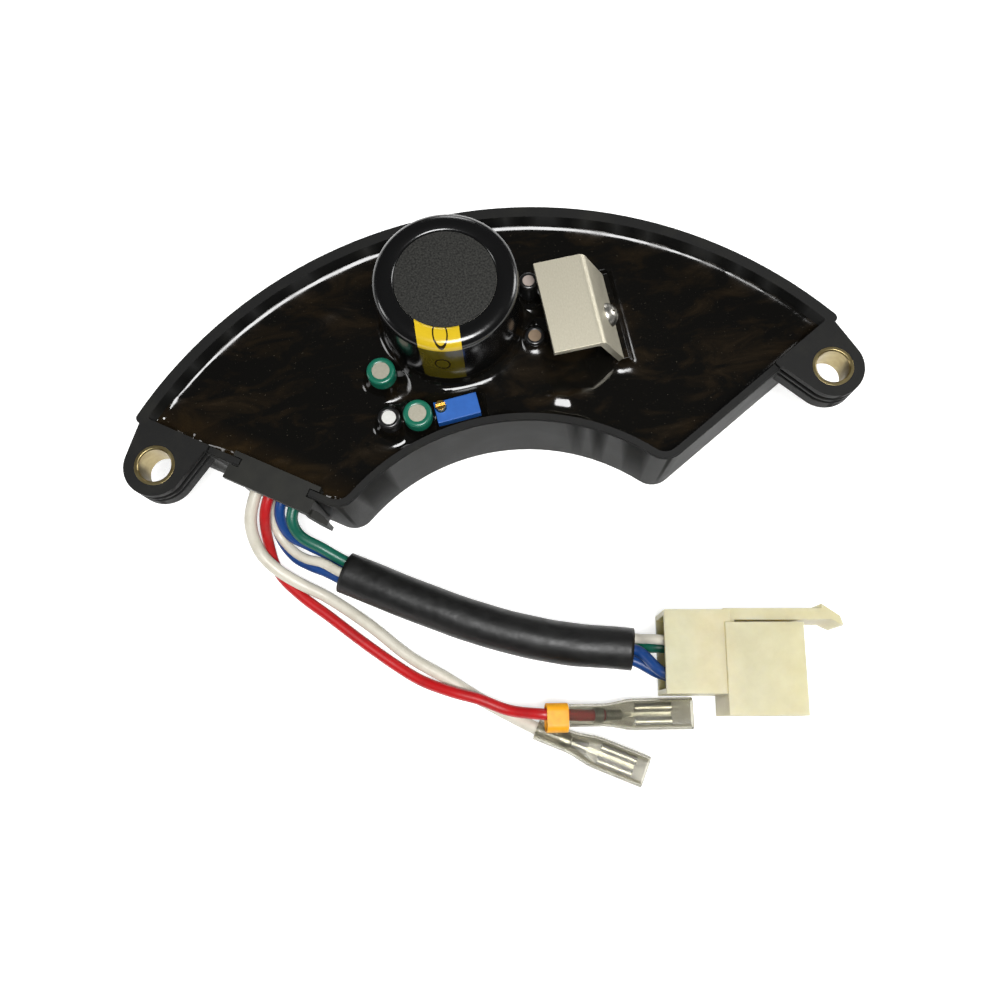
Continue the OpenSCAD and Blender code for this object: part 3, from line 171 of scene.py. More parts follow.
def lay_wire(name, node, diameter, material, route):
    """A wire along its route in millimetres, in the place of its solid."""
    curve = bpy.data.curves.new(name, "CURVE")
    curve.dimensions = "3D"
    curve.resolution_u = 8
    curve.bevel_depth = diameter / 2000
    curve.bevel_resolution = 6
    curve.use_fill_caps = True
    spline = curve.splines.new("BEZIER")
    spline.bezier_points.add(len(route) - 1)
    points = [Vector(point) / 1000 for point in route]
    for knot, before, here, after in zip(spline.bezier_points, points[:1] + points, points, points[1:] + points[-1:]):
        knot.co = here
        knot.handle_left_type = knot.handle_right_type = "FREE"
        way = (after - before).normalized()
        for end, other, sense in (("left", before, -1), ("right", after, 1)):
            arm = way * sense * (other - here).length / 3
            # no arm climbs or dips past its neighbour, so no bend sinks into the table
            rise = other.z - here.z
            arm.z = min(max(arm.z, min(rise, 0)), max(rise, 0))
            setattr(knot, "handle_" + end, here + arm)
    wire = bpy.data.objects.new(name, curve)
    scene.collection.objects.link(wire)
    curve.materials.append(material)
    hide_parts(node)
    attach(wire, "regulator")
    return wire


pvc_white = insulation("pvc_ivory", "#d6d1c2", "#bdb6a2")
pvc_red = insulation("pvc_red", "#bd1418", "#9c0f12")
pvc_blue = insulation("pvc_blue", "#0f3f80", "#0c3268")
pvc_green = insulation("pvc_green", "#005c49", "#004a3a")

white_power = lay_wire("white_power_lead", "wire_white_power", 2.8, pvc_white, [
    (-52.7, -1.8, 13), (-55.1, -5.7, 13), (-57.8, -12.2, 10.3), (-57.2, -18.4, 6.7), (-54.2, -22.7, 4.8),
    (-49.6, -26.5, 3.6), (-43.9, -30.3, 1.6), (-35, -38.1, 1.5), (-26.7, -46.6, 1.5), (-19.2, -52.4, 1.5),
    (-12.4, -58, 1.5), (-5, -63.4, 1.9), (-0.8, -66.2, 2.8), (6.2, -70.2, 2.5),
])
red_power = lay_wire("red_power_lead", "wire_red_power", 2.5, pvc_red, [
    (-50, -3.4, 13), (-52.4, -7.3, 13), (-54.4, -11.4, 10.6), (-55.5, -16.8, 4.4), (-54.5, -22.9, 1.3),
    (-49.9, -29, 1.3), (-44, -34.7, 1.3), (-37, -41.6, 1.3), (-29.8, -48.2, 1.3), (-24.6, -52.3, 2),
    (-18, -55.8, 4.1), (-12.4, -58.2, 4.7), (-6.2, -61.5, 5), (0.9, -63.4, 7.2), (4, -63.8, 6.85),
    (8.4, -64.7, 5.7), (14.3, -65.5, 4.1),
])
white_sense = lay_wire("white_sensing_lead", "wire_white_sense", 2.2, pvc_white, [
    (-50, -3.4, 9.8), (-52.4, -7.3, 9.8), (-53.6, -10.4, 7.7), (-52.9, -14.6, 4.7), (-50.5, -18.5, 4.1),
    (-47.4, -21.2, 4.7), (-43.5, -23, 5.9), (-38.9, -26.3, 7.2), (-23.4, -34.2, 7.3), (-7.5, -41.5, 6.9),
    (7.6, -46.6, 6.2), (23.4, -50, 5.3), (28.9, -51.6, 10.2), (34.3, -53.5, 10.2),
])
blue_1 = lay_wire("blue_lead_1", "wire_blue_1", 2.4, pvc_blue, [
    (-47.3, -5.1, 13), (-49.8, -9, 13), (-50.9, -12.4, 11), (-49.8, -16, 7.4), (-46.6, -18.1, 4.6),
    (-43.2, -20.3, 3.1), (-37.8, -24.4, 3.1), (-23.4, -34.1, 2.5), (-8.3, -43.4, 2.6), (6.5, -50.2, 3.3),
    (22.2, -54.6, 4.5), (27.9, -58.5, 4.8), (33.3, -60.5, 4.8),
])
blue_2 = lay_wire("blue_lead_2", "wire_blue_2", 2.4, pvc_blue, [
    (-49.9, -3.5, 6.7), (-52.3, -7.4, 6.7), (-53.6, -10.8, 4.2), (-53.2, -15.2, 1.4), (-50.4, -19.9, 1.3),
    (-47, -22.5, 1.5), (-43.4, -24.6, 2.2), (-39.5, -27.3, 3.3), (-24.7, -36.6, 4.5), (-8.9, -44.7, 5.8),
    (6.6, -49.9, 6.8), (22.8, -52.5, 7.3), (27.9, -58.5, 10.2), (33.3, -60.5, 10.2),
])
green = lay_wire("green_lead", "wire_green", 2.6, pvc_green, [
    (-44.7, -6.8, 13), (-47.1, -10.7, 13), (-48.1, -14, 12), (-47, -17, 9.6), (-43, -19.9, 7.4),
    (-37.5, -23.9, 5.9), (-22.4, -32.4, 4.9), (-7.1, -40.7, 3.9), (7.5, -47, 3.1), (22.9, -51.7, 2.6),
    (28.7, -52.7, 4.8), (34.3, -53.5, 4.8),
])


# Sleeve.
# A satin black PVC tube, pushed over the four thin wires, so it bends with them and shows
# soft flats and ripples along its length.
tube = bpy.data.curves.new("harness_tube", "CURVE")
tube.dimensions = "3D"
tube.resolution_u = 24
tube.bevel_depth = 0.0048
tube.bevel_resolution = 14
spline = tube.splines.new("BEZIER")
sleeve_line = [(-38.6, -25.8, 4.9), (-23.6, -34.5, 4.9), (-8, -42.7, 4.9), (7, -48.5, 4.9), (22.8, -52.3, 4.9)]
spline.bezier_points.add(len(sleeve_line) - 1)
for knot, point in zip(spline.bezier_points, sleeve_line):
    knot.co = Vector(point) / 1000
    knot.handle_left_type = knot.handle_right_type = "AUTO"
pattern = bpy.data.objects.new("harness_tube", tube)
scene.collection.objects.link(pattern)
bpy.context.view_layer.update()
bm = bmesh.new()
bm.from_mesh(pattern.to_mesh())
pattern.to_mesh_clear()
bpy.data.objects.remove(pattern)
bmesh.ops.remove_doubles(bm, verts=bm.verts, dist=1e-6)
bmesh.ops.recalc_face_normals(bm, faces=bm.faces)
bm.normal_update()
for vert in bm.verts:
    # ripples some 7 mm long and up to 0.12 mm deep
    vert.co += vert.normal * 0.00012 * (noise.noise(vert.co * 150) - 0.4)
harness_sleeve = set_down("harness_sleeve_tube", bm, 60)
wall = harness_sleeve.modifiers.new("wall", "SOLIDIFY")
wall.thickness = 0.0005
wall.offset = -1
black_tube, tree, body, place = surface("black_pvc_tube", "#0d0d0d", 0.45, Specular_IOR_Level=0.4)
haze = add(tree, "TexNoise", {"Scale": 330, "Detail": 6, "Roughness": 0.6}, {"Vector": place})
dull = add(
    tree, "MapRange", {"From Min": 0.4, "From Max": 0.8, "To Min": 0.40, "To Max": 0.60},
    {"Value": haze.outputs["Fac"]},
)
tree.links.new(dull.outputs[0], body.inputs["Roughness"])
tone = add(
    tree, "Mix", {"A": linear("#0b0b0b"), "B": linear("#1c1c1b")},
    {"Factor": haze.outputs["Fac"]}, data_type="RGBA",
)
tree.links.new(tone.outputs["Result"], body.inputs["Base Color"])
ripple = add(tree, "TexNoise", {"Scale": 420, "Detail": 3}, {"Vector": place})
bump = add(tree, "Bump", {"Strength": 0.25, "Distance": 0.0004}, {"Height": ripple.outputs["Fac"]})
tree.links.new(bump.outputs[0], body.inputs["Normal"])
harness_sleeve.data.materials.append(black_tube)
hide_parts("harness_sleeve")
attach(harness_sleeve, "regulator")


# Connector.
# A four-way housing moulded in natural nylon: an open skirt behind, a contact block, a wider
# shell in front and a springy latch arm with its barb along the left side.
def softened(name, node, width, material, segments=2, body_name="regulator", angle=28):
    """A merged copy of a solid with its edges broken by a small radius, in the solid's place."""
    bm = bmesh.new()
    bm.from_mesh(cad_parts[node].data)
    bmesh.ops.remove_doubles(bm, verts=bm.verts, dist=2e-6)
    bmesh.ops.dissolve_limit(bm, angle_limit=math.radians(0.5), verts=bm.verts, edges=bm.edges)
    edges = [e for e in bm.edges if len(e.link_faces) == 2 and e.calc_face_angle() > math.radians(angle)]
    if width:
        bmesh.ops.bevel(
            bm, geom=edges, offset=width / 1000, offset_type="OFFSET", affect="EDGES", segments=segments,
            profile=0.5, material=-1, clamp_overlap=True,
        )
    piece = set_down(name, bm, 50)
    even = piece.modifiers.new("even_shading", "WEIGHTED_NORMAL")
    even.keep_sharp = True
    even.mode = "FACE_AREA_WITH_ANGLE"
    piece.data.materials.clear()
    piece.data.materials.append(material)
    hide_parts(node)
    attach(piece, body_name)
    return piece


# unfilled nylon, injection moulded: cream, waxy, a little light passes through thin walls
nylon, tree, body, place = surface(
    "natural_nylon", "#e6dfbe", 0.4, Subsurface_Weight=0.8, Subsurface_Scale=0.006, Transmission_Weight=0.1,
)
body.inputs["Subsurface Radius"].default_value = (1.0, 0.85, 0.5)
flow = add(tree, "TexNoise", {"Scale": 190, "Detail": 5, "Roughness": 0.6}, {"Vector": place})
tone = add(
    tree, "Mix", {"A": linear("#ded6b4"), "B": linear("#bdb284")},
    {"Factor": flow.outputs["Fac"]}, data_type="RGBA",
)
tree.links.new(tone.outputs["Result"], body.inputs["Base Color"])
grain = add(tree, "TexNoise", {"Scale": 4200, "Detail": 2}, {"Vector": place})
bump = add(tree, "Bump", {"Strength": 0.1, "Distance": 0.0001}, {"Height": grain.outputs["Fac"]})
tree.links.new(bump.outputs[0], body.inputs["Normal"])
connector = softened("nylon_connector", "connector_housing", 0.5, nylon, 3)

# stamped brass under a thin tin plate, which wears through to yellow in spots
tinned_brass, tree, body, place = surface("tinned_brass", "#cfc7a8", 0.22, 1.0)
wear = add(tree, "TexNoise", {"Scale": 900, "Detail": 6, "Roughness": 0.7}, {"Vector": place})
tone = add(
    tree, "Mix", {"A": linear("#e2dfd2"), "B": linear("#b79a5a")},
    {"Factor": wear.outputs["Fac"]}, data_type="RGBA",
)
tree.links.new(tone.outputs["Result"], body.inputs["Base Color"])
dull = add(tree, "MapRange", {"To Min": 0.15, "To Max": 0.4}, {"Value": wear.outputs["Fac"]})
tree.links.new(dull.outputs[0], body.inputs["Roughness"])
contacts = softened("connector_blades", "connector_contacts", 0.12, tinned_brass)


# Push-on terminals with their boots and the yellow band.
# Each thick wire is crimped into a tinned receptacle with rolled edges, and a smoky clear vinyl
# boot covers it; a short yellow shrink band sits on the red wire behind its boot.
# stamped strip with a bright tin plate, rubbed duller where it was handled
tinned_steel, tree, body, place = surface("tinned_receptacle", "#d6d5cd", 0.3, 0.85)
rub = add(tree, "TexNoise", {"Scale": 1200, "Detail": 5, "Roughness": 0.65}, {"Vector": place})
tone = add(
    tree, "Mix", {"A": linear("#e6e5de"), "B": linear("#a8a598")},
    {"Factor": rub.outputs["Fac"]}, data_type="RGBA",
)
tree.links.new(tone.outputs["Result"], body.inputs["Base Color"])
dull = add(tree, "MapRange", {"To Min": 0.2, "To Max": 0.45}, {"Value": rub.outputs["Fac"]})
tree.links.new(dull.outputs[0], body.inputs["Roughness"])
terminal_red = softened("receptacle_on_red", "terminal_red", 0.06, tinned_steel, 1)
terminal_white = softened("receptacle_on_white", "terminal_white", 0.06, tinned_steel, 1)

# dipped clear PVC gone smoky: clear, with a thin haze that dulls the metal behind it
vinyl, tree, body, place = surface("smoky_vinyl", "#d6d2bc", 0.12, Transmission_Weight=0.95, IOR=1.2)
film = add(tree, "TexNoise", {"Scale": 420, "Detail": 6, "Roughness": 0.6}, {"Vector": place})
tone = add(
    tree, "Mix", {"A": linear("#d4d2c6"), "B": linear("#b0ada0")},
    {"Factor": film.outputs["Fac"]}, data_type="RGBA",
)
tree.links.new(tone.outputs["Result"], body.inputs["Base Color"])
dull = add(tree, "MapRange", {"To Min": 0.06, "To Max": 0.22}, {"Value": film.outputs["Fac"]})
tree.links.new(dull.outputs[0], body.inputs["Roughness"])
boot_red = softened("vinyl_boot_on_red", "boot_red", 0.12, vinyl, 2, angle=50)
boot_white = softened("vinyl_boot_on_white", "boot_white", 0.12, vinyl, 2, angle=50)

# polyolefin tube shrunk by heat: smooth satin, a shade deeper where it is thicker
shrink_yellow, tree, body, place = surface("yellow_shrink_band", "#f2a716", 0.4)
film = add(tree, "TexNoise", {"Scale": 700, "Detail": 4}, {"Vector": place})
tone = add(
    tree, "Mix", {"A": linear("#fbb51c"), "B": linear("#d98d10")},
    {"Factor": film.outputs["Fac"]}, data_type="RGBA",
)
tree.links.new(tone.outputs["Result"], body.inputs["Base Color"])
band = softened("yellow_shrink_band", "yellow_band", 0.1, shrink_yellow)


# Case, ears and bushings.
# One moulding in black glass-filled nylon, matt, with a fine step along the rims; each grooved
# ear carries a turned steel bushing with yellow zinc plating.
moulded_nylon, tree, body, place = surface("glass_filled_nylon", "#151514", 0.58, Specular_IOR_Level=0.25)
cloud = add(tree, "TexNoise", {"Scale": 120, "Detail": 6, "Roughness": 0.62}, {"Vector": place})
# dust and handling marks from 3 to 8 mm across
dust = add(
    tree, "MapRange", {"From Min": 0.5, "From Max": 0.78, "To Max": 0.55}, {"Value": cloud.outputs["Fac"]},
)
tone = add(
    tree, "Mix", {"A": linear("#131312"), "B": linear("#26251f")},
    {"Factor": dust.outputs[0]}, data_type="RGBA",
)
tree.links.new(tone.outputs["Result"], body.inputs["Base Color"])
dull = add(tree, "MapRange", {"To Min": 0.5, "To Max": 0.72}, {"Value": cloud.outputs["Fac"]})
tree.links.new(dull.outputs[0], body.inputs["Roughness"])
# moulding grain of 0.25 mm
grain = add(tree, "TexNoise", {"Scale": 4000, "Detail": 3, "Roughness": 0.6}, {"Vector": place})
bump = add(tree, "Bump", {"Strength": 0.22, "Distance": 0.00015}, {"Height": grain.outputs["Fac"]})
tree.links.new(bump.outputs[0], body.inputs["Normal"])
case = softened("case_moulding", "case", 0.14, moulded_nylon)

# turned steel, zinc plated and passivated yellow: uneven straw tint, fine turning marks
zinc_plate, tree, body, place = surface("yellow_zinc_plate", "#b3a377", 0.34, 1.0)
tint = add(tree, "TexNoise", {"Scale": 420, "Detail": 4}, {"Vector": place})
tone = add(
    tree, "Mix", {"A": linear("#bdb083"), "B": linear("#806a3e")},
    {"Factor": tint.outputs["Fac"]}, data_type="RGBA",
)
tree.links.new(tone.outputs["Result"], body.inputs["Base Color"])
scratch = add(tree, "TexNoise", {"Scale": 5200, "Detail": 2}, {"Vector": place})
bump = add(tree, "Bump", {"Strength": 0.15, "Distance": 0.0001}, {"Height": scratch.outputs["Fac"]})
tree.links.new(bump.outputs[0], body.inputs["Normal"])
for side in ("left", "right"):
    bushing = softened("steel_bushing_" + side, "bushing_" + side, 0.08, zinc_plate)


# Cable clip plate.
# A separate moulding that slides down over the end wall, with a hole for each wire, a flange
# along its top and a snap arm; its plastic is a little lighter and smoother than the case's.
# black nylon, injection moulded in a smoother tool than the case
clip_plastic, tree, body, place = surface("clip_plastic", "#1a1a19", 0.5, Specular_IOR_Level=0.3)
cloud = add(tree, "TexNoise", {"Scale": 300, "Detail": 5}, {"Vector": place})
tone = add(
    tree, "Mix", {"A": linear("#171716"), "B": linear("#282823")},
    {"Factor": cloud.outputs["Fac"]}, data_type="RGBA",
)
tree.links.new(tone.outputs["Result"], body.inputs["Base Color"])
grain = add(tree, "TexNoise", {"Scale": 3600, "Detail": 2}, {"Vector": place})
bump = add(tree, "Bump", {"Strength": 0.15, "Distance": 0.0001}, {"Height": grain.outputs["Fac"]})
tree.links.new(bump.outputs[0], body.inputs["Normal"])
clip = softened("cable_clip_moulding", "cable_clip_plate", 0.12, clip_plastic)


# Potting resin.
# Black polyurethane poured over the board, glossy and not quite level: it climbs the walls and
# every part that stands in it, bulges over two buried resistors and carries brown smears.
ARC = Vector((0, -49.3))
END = math.radians(58)
LEVEL = 18.8
STANDING = [
    (-6.3, 26.3, 15.5, 2.2), (-23.1, 13.4, 3.15, 3.4), (-16.4, 2.6, 3.15, 3.4),
    (-22.6, 2.6, 2.5, 3.0), (11.7, 28.6, 2.1, 2.6), (11.6, 18.3, 2.3, 1.0),
]
BLOCKS = [
    (-7.8, 2.9, 6.6, -4.77, 4.77, -2.42, 2.42, 3.0),
    (0, 0, 3.8, 27.2, 31.9, 12.9, 20.7, 0.8),
    (0, 0, 3.8, 30.2, 31.9, 7.5, 28.3, 2.4),
]


def parts_near(x, y):
    """The gap to each part that stands in the resin and how far the resin climbs it."""
    near = [(math.hypot(x - cx, y - cy) - r, lift) for cx, cy, r, lift in STANDING]
    for cx, cy, turn, u0, u1, v0, v1, lift in BLOCKS:
        a = math.radians(turn)
        u = (x - cx) * math.cos(a) + (y - cy) * math.sin(a)
        v = (y - cy) * math.cos(a) - (x - cx) * math.sin(a)
        near.append((math.hypot(max(u0 - u, u - u1, 0), max(v0 - v, v - v1, 0)), lift))
    return near


def resin_height(x, y):
    """How far the resin stands above its level at a point, in millimetres."""
    from_arc = Vector((x, y)) - ARC
    radius = from_arc.length
    ends = [
        side * from_arc.x * math.cos(END) * -1 + from_arc.y * math.sin(END) - 11.3
        for side in (1, -1)
    ]
    walls = [(radius - 49.7, 1.1), (96 - radius, 0.7), (ends[0], 1.2), (ends[1], 1.2)]
    # the climbs add as sheets of liquid do, so close neighbours stand in one collar
    rise = sum((lift * math.exp(-max(gap, 0) / 1.05)) ** 3 for gap, lift in walls + parts_near(x, y)) ** (1 / 3)
    for bx, by, turn, length, lift in ((-34.9, 31.3, 23, 5, 0.4), (15.5, 3.6, -16, 1.2, 0.8)):
        a = math.radians(turn)
        u = (x - bx) * math.cos(a) + (y - by) * math.sin(a)
        v = (y - by) * math.cos(a) - (x - bx) * math.sin(a)
        rise += lift * math.exp(-(max(abs(u) - length, 0) ** 2 + v * v) / 4)
    # lumps and small craters where the resin was dabbed along the clip plate
    rise += 1.1 * max(noise.noise(Vector((x / 2.1, y / 2.1, 4.2))), -0.1) * math.exp(-max(ends[1], 0) / 2.4)
    return rise + 0.10 * noise.noise(Vector((x / 14, y / 14, 0.3)))


bm = bmesh.new()
line = []
for i in range(121):
    # closer rows near both curved walls, where the resin climbs
    share = i / 120
    eased = share - math.sin(4 * math.pi * share) / (4 * math.pi) * 0.55
    line.append(bm.verts.new(Matrix.Rotation(END, 3, "Z") @ Vector((0, (49.7 + 46.3 * eased) / 1000, 0))))
edges = [bm.edges.new(pair) for pair in zip(line, line[1:])]
bmesh.ops.spin(
    bm, geom=line + edges, cent=(0, 0, 0), axis=(0, 0, 1), angle=-2 * END, steps=360, use_merge=False,
)
bmesh.ops.translate(bm, verts=bm.verts, vec=(0, ARC.y / 1000, LEVEL / 1000))
for side in (1, -1):
    inward = Vector((side * -math.cos(END), math.sin(END), 0))
    bmesh.ops.bisect_plane(
        bm, geom=bm.verts[:] + bm.edges[:] + bm.faces[:], dist=1e-7,
        plane_co=Vector((0, ARC.y / 1000, 0)) + inward * 0.0113, plane_no=inward, clear_inner=True,
    )
close = []
for edge in bm.edges:
    middle = (edge.verts[0].co + edge.verts[1].co) * 500
    gap = min(gap for gap, lift in parts_near(middle.x, middle.y))
    if -0.5 < gap < 2.2:
        close.append(edge)
bmesh.ops.subdivide_edges(bm, edges=close, cuts=2, use_grid_fill=True)
bmesh.ops.recalc_face_normals(bm, faces=bm.faces)
if sum(face.normal.z for face in bm.faces) < 0:
    bmesh.ops.reverse_faces(bm, faces=bm.faces)
for vert in bm.verts:
    vert.co.z += resin_height(vert.co.x * 1000, vert.co.y * 1000) / 1000
rim = [e for e in bm.edges if e.is_boundary]
skirt = bmesh.ops.extrude_edge_only(bm, edges=rim)["geom"]
for vert in skirt:
    if isinstance(vert, bmesh.types.BMVert):
        vert.co.z = 0.002
bmesh.ops.edgeloop_fill(bm, edges=[e for e in bm.edges if e.is_boundary])
resin_body = set_down("potting_resin", bm, 50)
# cast polyurethane: wet gloss, near black, with brown smears 12 mm long and dust specks
resin, tree, body, place = surface("black_polyurethane", "#14110d", 0.14, IOR=1.48)
sweep = add(tree, "Mapping", {"Scale": (1.0, 2.2, 1.0), "Rotation": (0, 0, 0.5)}, {"Vector": place})
smear = add(
    tree, "TexNoise", {"Scale": 85, "Detail": 7, "Roughness": 0.62, "Distortion": 0.6},
    {"Vector": sweep.outputs[0]},
)
brown = add(
    tree, "MapRange", {"From Min": 0.48, "From Max": 0.8, "To Max": 0.55}, {"Value": smear.outputs["Fac"]},
)
# thin brown resin over the wall by the clip plate, fading out 7 mm into the pocket
inward = add(tree, "VectorMath", {1: (math.cos(END), math.sin(END), 0)}, {0: place}, operation="DOT_PRODUCT")
edge = add(
    tree, "MapRange", {"From Min": -0.0305, "From Max": -0.0235, "To Min": 1.0, "To Max": 0.0},
    {"Value": inward.outputs["Value"]},
)
edge = add(tree, "Math", operation="MULTIPLY", links={0: edge.outputs[0], 1: smear.outputs["Fac"]})
brown = add(tree, "Math", operation="ADD", links={0: brown.outputs[0], 1: edge.outputs[0]}, use_clamp=True)
tone = add(
    tree, "Mix", {"A": linear("#0c0b09"), "B": linear("#30230f")},
    {"Factor": brown.outputs[0]}, data_type="RGBA",
)
speck = add(tree, "TexNoise", {"Scale": 2300, "Detail": 2}, {"Vector": place})
fleck = add(
    tree, "MapRange", {"From Min": 0.70, "From Max": 0.78, "To Max": 0.5}, {"Value": speck.outputs["Fac"]},
)
dusty = add(
    tree, "Mix", {"B": linear("#5a5347")},
    {"Factor": fleck.outputs[0], "A": tone.outputs["Result"]}, data_type="RGBA",
)
tree.links.new(dusty.outputs["Result"], body.inputs["Base Color"])
dull = add(
    tree, "MapRange", {"From Min": 0.4, "From Max": 0.8, "To Min": 0.05, "To Max": 0.3},
    {"Value": smear.outputs["Fac"]},
)
tree.links.new(dull.outputs[0], body.inputs["Roughness"])
swell = add(tree, "TexNoise", {"Scale": 130, "Detail": 2}, {"Vector": place})
bump = add(tree, "Bump", {"Strength": 0.12, "Distance": 0.0006}, {"Height": swell.outputs["Fac"]})
tree.links.new(bump.outputs[0], body.inputs["Normal"])
resin_body.data.materials.append(resin)
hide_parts("potting")
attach(resin_body, "regulator")


# Main capacitor.
# An aluminium can in a black shrunk sleeve that folds over its top edge and leaves a grained
# fibre disc bare; a yellow stripe runs down the sleeve on the side of the negative pin.
def turned(name, profile, centre, material, steps=96, edge=0.0, angle=40):
    """A profile of (radius, height) points in millimetres, spun about a vertical axis."""
    bm = bmesh.new()
    ring = [bm.verts.new((r / 1000, 0, z / 1000)) for r, z in profile]
    pairs = list(zip(ring, ring[1:]))
    if profile[0][0] > 0:
        pairs.append((ring[-1], ring[0]))
    edges = [bm.edges.new(pair) for pair in pairs]
    bmesh.ops.spin(
        bm, geom=ring + edges, cent=(0, 0, 0), axis=(0, 0, 1), angle=2 * math.pi, steps=steps, use_merge=True,
    )
    bmesh.ops.remove_doubles(bm, verts=bm.verts, dist=1e-7)
    bmesh.ops.recalc_face_normals(bm, faces=bm.faces)
    if edge:
        sharp = [e for e in bm.edges if len(e.link_faces) == 2 and e.calc_face_angle() > math.radians(angle)]
        bmesh.ops.bevel(
            bm, geom=sharp, offset=edge / 1000, offset_type="OFFSET", affect="EDGES", segments=3,
            profile=0.5, material=-1, clamp_overlap=True,
        )
    bmesh.ops.translate(bm, verts=bm.verts, vec=Vector(centre) / 1000)
    piece = set_down(name, bm, 50)
    piece.data.materials.append(material)
    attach(piece, "regulator")
    return piece


can_place = (-6.3, 26.3, 14.2)
# PVC film shrunk by heat: glossy black with faint creases 3 mm apart and a printed stripe
shrunk_black, tree, body, place = surface(
    "black_shrunk_sleeve", "#0c0c0c", 0.22, Coat_Weight=0.3, Coat_Roughness=0.08,
)
split = add(tree, "SeparateXYZ", links={"Vector": place})
across = add(tree, "Math", {1: 0.0093}, operation="ADD", links={0: split.outputs["X"]})
near = add(
    tree, "Math", {1: 0.0045},
    operation="LESS_THAN", links={0: add(tree, "Math", operation="ABSOLUTE", links={0: across.outputs[0]}).outputs[0]},
)
front = add(tree, "Math", {1: 0.0263}, operation="LESS_THAN", links={0: split.outputs["Y"]})
stripe = add(tree, "Math", operation="MULTIPLY", links={0: near.outputs[0], 1: front.outputs[0]})
# the stripe's ink is bright on the turned-in edge; down the side it is painted dark and dull as painted shade, since
# the side lies in shadow
above = add(tree, "Math", {1: 0.0366}, operation="GREATER_THAN", links={0: split.outputs["Z"]})
stripe_ink_and_side_shade = add(
    tree, "Mix", {"A": linear("#5c5212"), "B": linear("#d2b222")},
    {"Factor": above.outputs[0]}, data_type="RGBA",
)
tone = add(
    tree, "Mix", {"A": linear("#0c0c0c")},
    {"Factor": stripe.outputs[0], "B": stripe_ink_and_side_shade.outputs["Result"]}, data_type="RGBA",
)
# two plain ovals stand for the minus signs: one on the turned-in edge and one down the side
below = add(tree, "Math", {1: 0.0366}, operation="LESS_THAN", links={0: split.outputs["Z"]})
marks = []
for scale, centre, part in (
    ((620, 330, 0), (-0.0089, 0.0142, 0), above), ((590, 0, 360), (-0.0094, 0, 0.0295), below),
):
    shift = tuple(-s * c for s, c in zip(scale, centre))
    oval = add(tree, "VectorMath", {1: scale, 2: shift}, {0: place}, operation="MULTIPLY_ADD")
    reach = add(tree, "VectorMath", links={0: oval.outputs["Vector"]}, operation="LENGTH")
    line = add(tree, "Math", {1: 0.9, 2: 0.1}, {0: reach.outputs["Value"]}, operation="COMPARE")
    marks.append(add(tree, "Math", links={0: line.outputs[0], 1: part.outputs[0]}, operation="MULTIPLY"))
mark = add(tree, "Math", links={0: marks[0].outputs[0], 1: marks[1].outputs[0]}, operation="MAXIMUM")
mark = add(tree, "Math", links={0: mark.outputs[0], 1: stripe.outputs[0]}, operation="MULTIPLY")
tone = add(
    tree, "Mix", {"B": linear("#2c2208")},
    {"Factor": mark.outputs[0], "A": tone.outputs["Result"]}, data_type="RGBA",
)
tree.links.new(tone.outputs["Result"], body.inputs["Base Color"])
wrinkle = add(tree, "TexNoise", {"Scale": 300, "Detail": 4}, {"Vector": place})
bump = add(tree, "Bump", {"Strength": 0.2, "Distance": 0.0003}, {"Height": wrinkle.outputs["Fac"]})
tree.links.new(bump.outputs[0], body.inputs["Normal"])
can_sleeve = turned("capacitor_shrunk_sleeve", [
    (15.5, 0), (15.5, 22.2), (15.35, 23.0), (14.9, 23.7), (14.2, 24.15), (13.4, 24.3), (11.4, 24.3), (10.9, 24.1),
    (10.8, 23.8), (13.4, 23.8), (14.4, 23.4), (14.9, 22.6), (15.0, 22.0), (15.0, 0),
], can_place, shrunk_black, 128)
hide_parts("capacitor_sleeve")

# pressed fibre board, matt charcoal; its 0.4 mm grain is drawn coarser than life to show
fibre, tree, body, place = surface("fibre_disc", "#252524", 0.75, Specular_IOR_Level=0.2)
grain = add(tree, "TexNoise", {"Scale": 2400, "Detail": 3, "Roughness": 0.7}, {"Vector": place})
pressed = add(tree, "MapRange", {"From Min": 0.35, "From Max": 0.65}, {"Value": grain.outputs["Fac"]})
tone = add(
    tree, "Mix", {"A": linear("#141413"), "B": linear("#393936")},
    {"Factor": pressed.outputs[0]}, data_type="RGBA",
)
tree.links.new(tone.outputs["Result"], body.inputs["Base Color"])
bump = add(tree, "Bump", {"Strength": 0.3, "Distance": 0.0002}, {"Height": grain.outputs["Fac"]})
tree.links.new(bump.outputs[0], body.inputs["Normal"])
end_disc = turned(
    "capacitor_fibre_disc", [(0, 24.15), (10.78, 24.15), (10.78, 23.8), (0, 23.8)], can_place, fibre, 96, 0.1,
)
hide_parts("capacitor_end_disc")

# deep drawn aluminium, bare: soft grey metal with dull patches
bare_aluminium, tree, body, place = surface("bare_aluminium", "#c9c6bd", 0.34, 1.0)
spun = add(tree, "TexNoise", {"Scale": 2500, "Detail": 3}, {"Vector": place})
dull = add(tree, "MapRange", {"To Min": 0.25, "To Max": 0.5}, {"Value": spun.outputs["Fac"]})
tree.links.new(dull.outputs[0], body.inputs["Roughness"])
can = softened("capacitor_aluminium_can", "capacitor_can", 0.05, bare_aluminium)


# Small capacitors.
# Five small electrolytic capacitors: each is a can in a shrunk sleeve, green or black, that
# turns in over the top edge and leaves the bare end of the can showing.
def small_sleeve_skin(name, code, gloss):
    """A shrunk film with a faint crease pattern."""
    made, tree, body, place = surface(name, code, gloss, Coat_Weight=0.3, Coat_Roughness=0.15)
    crease = add(tree, "TexNoise", {"Scale": 800, "Detail": 3}, {"Vector": place})
    bump = add(tree, "Bump", {"Strength": 0.2, "Distance": 0.0002}, {"Height": crease.outputs["Fac"]})
    tree.links.new(bump.outputs[0], body.inputs["Normal"])
    return made


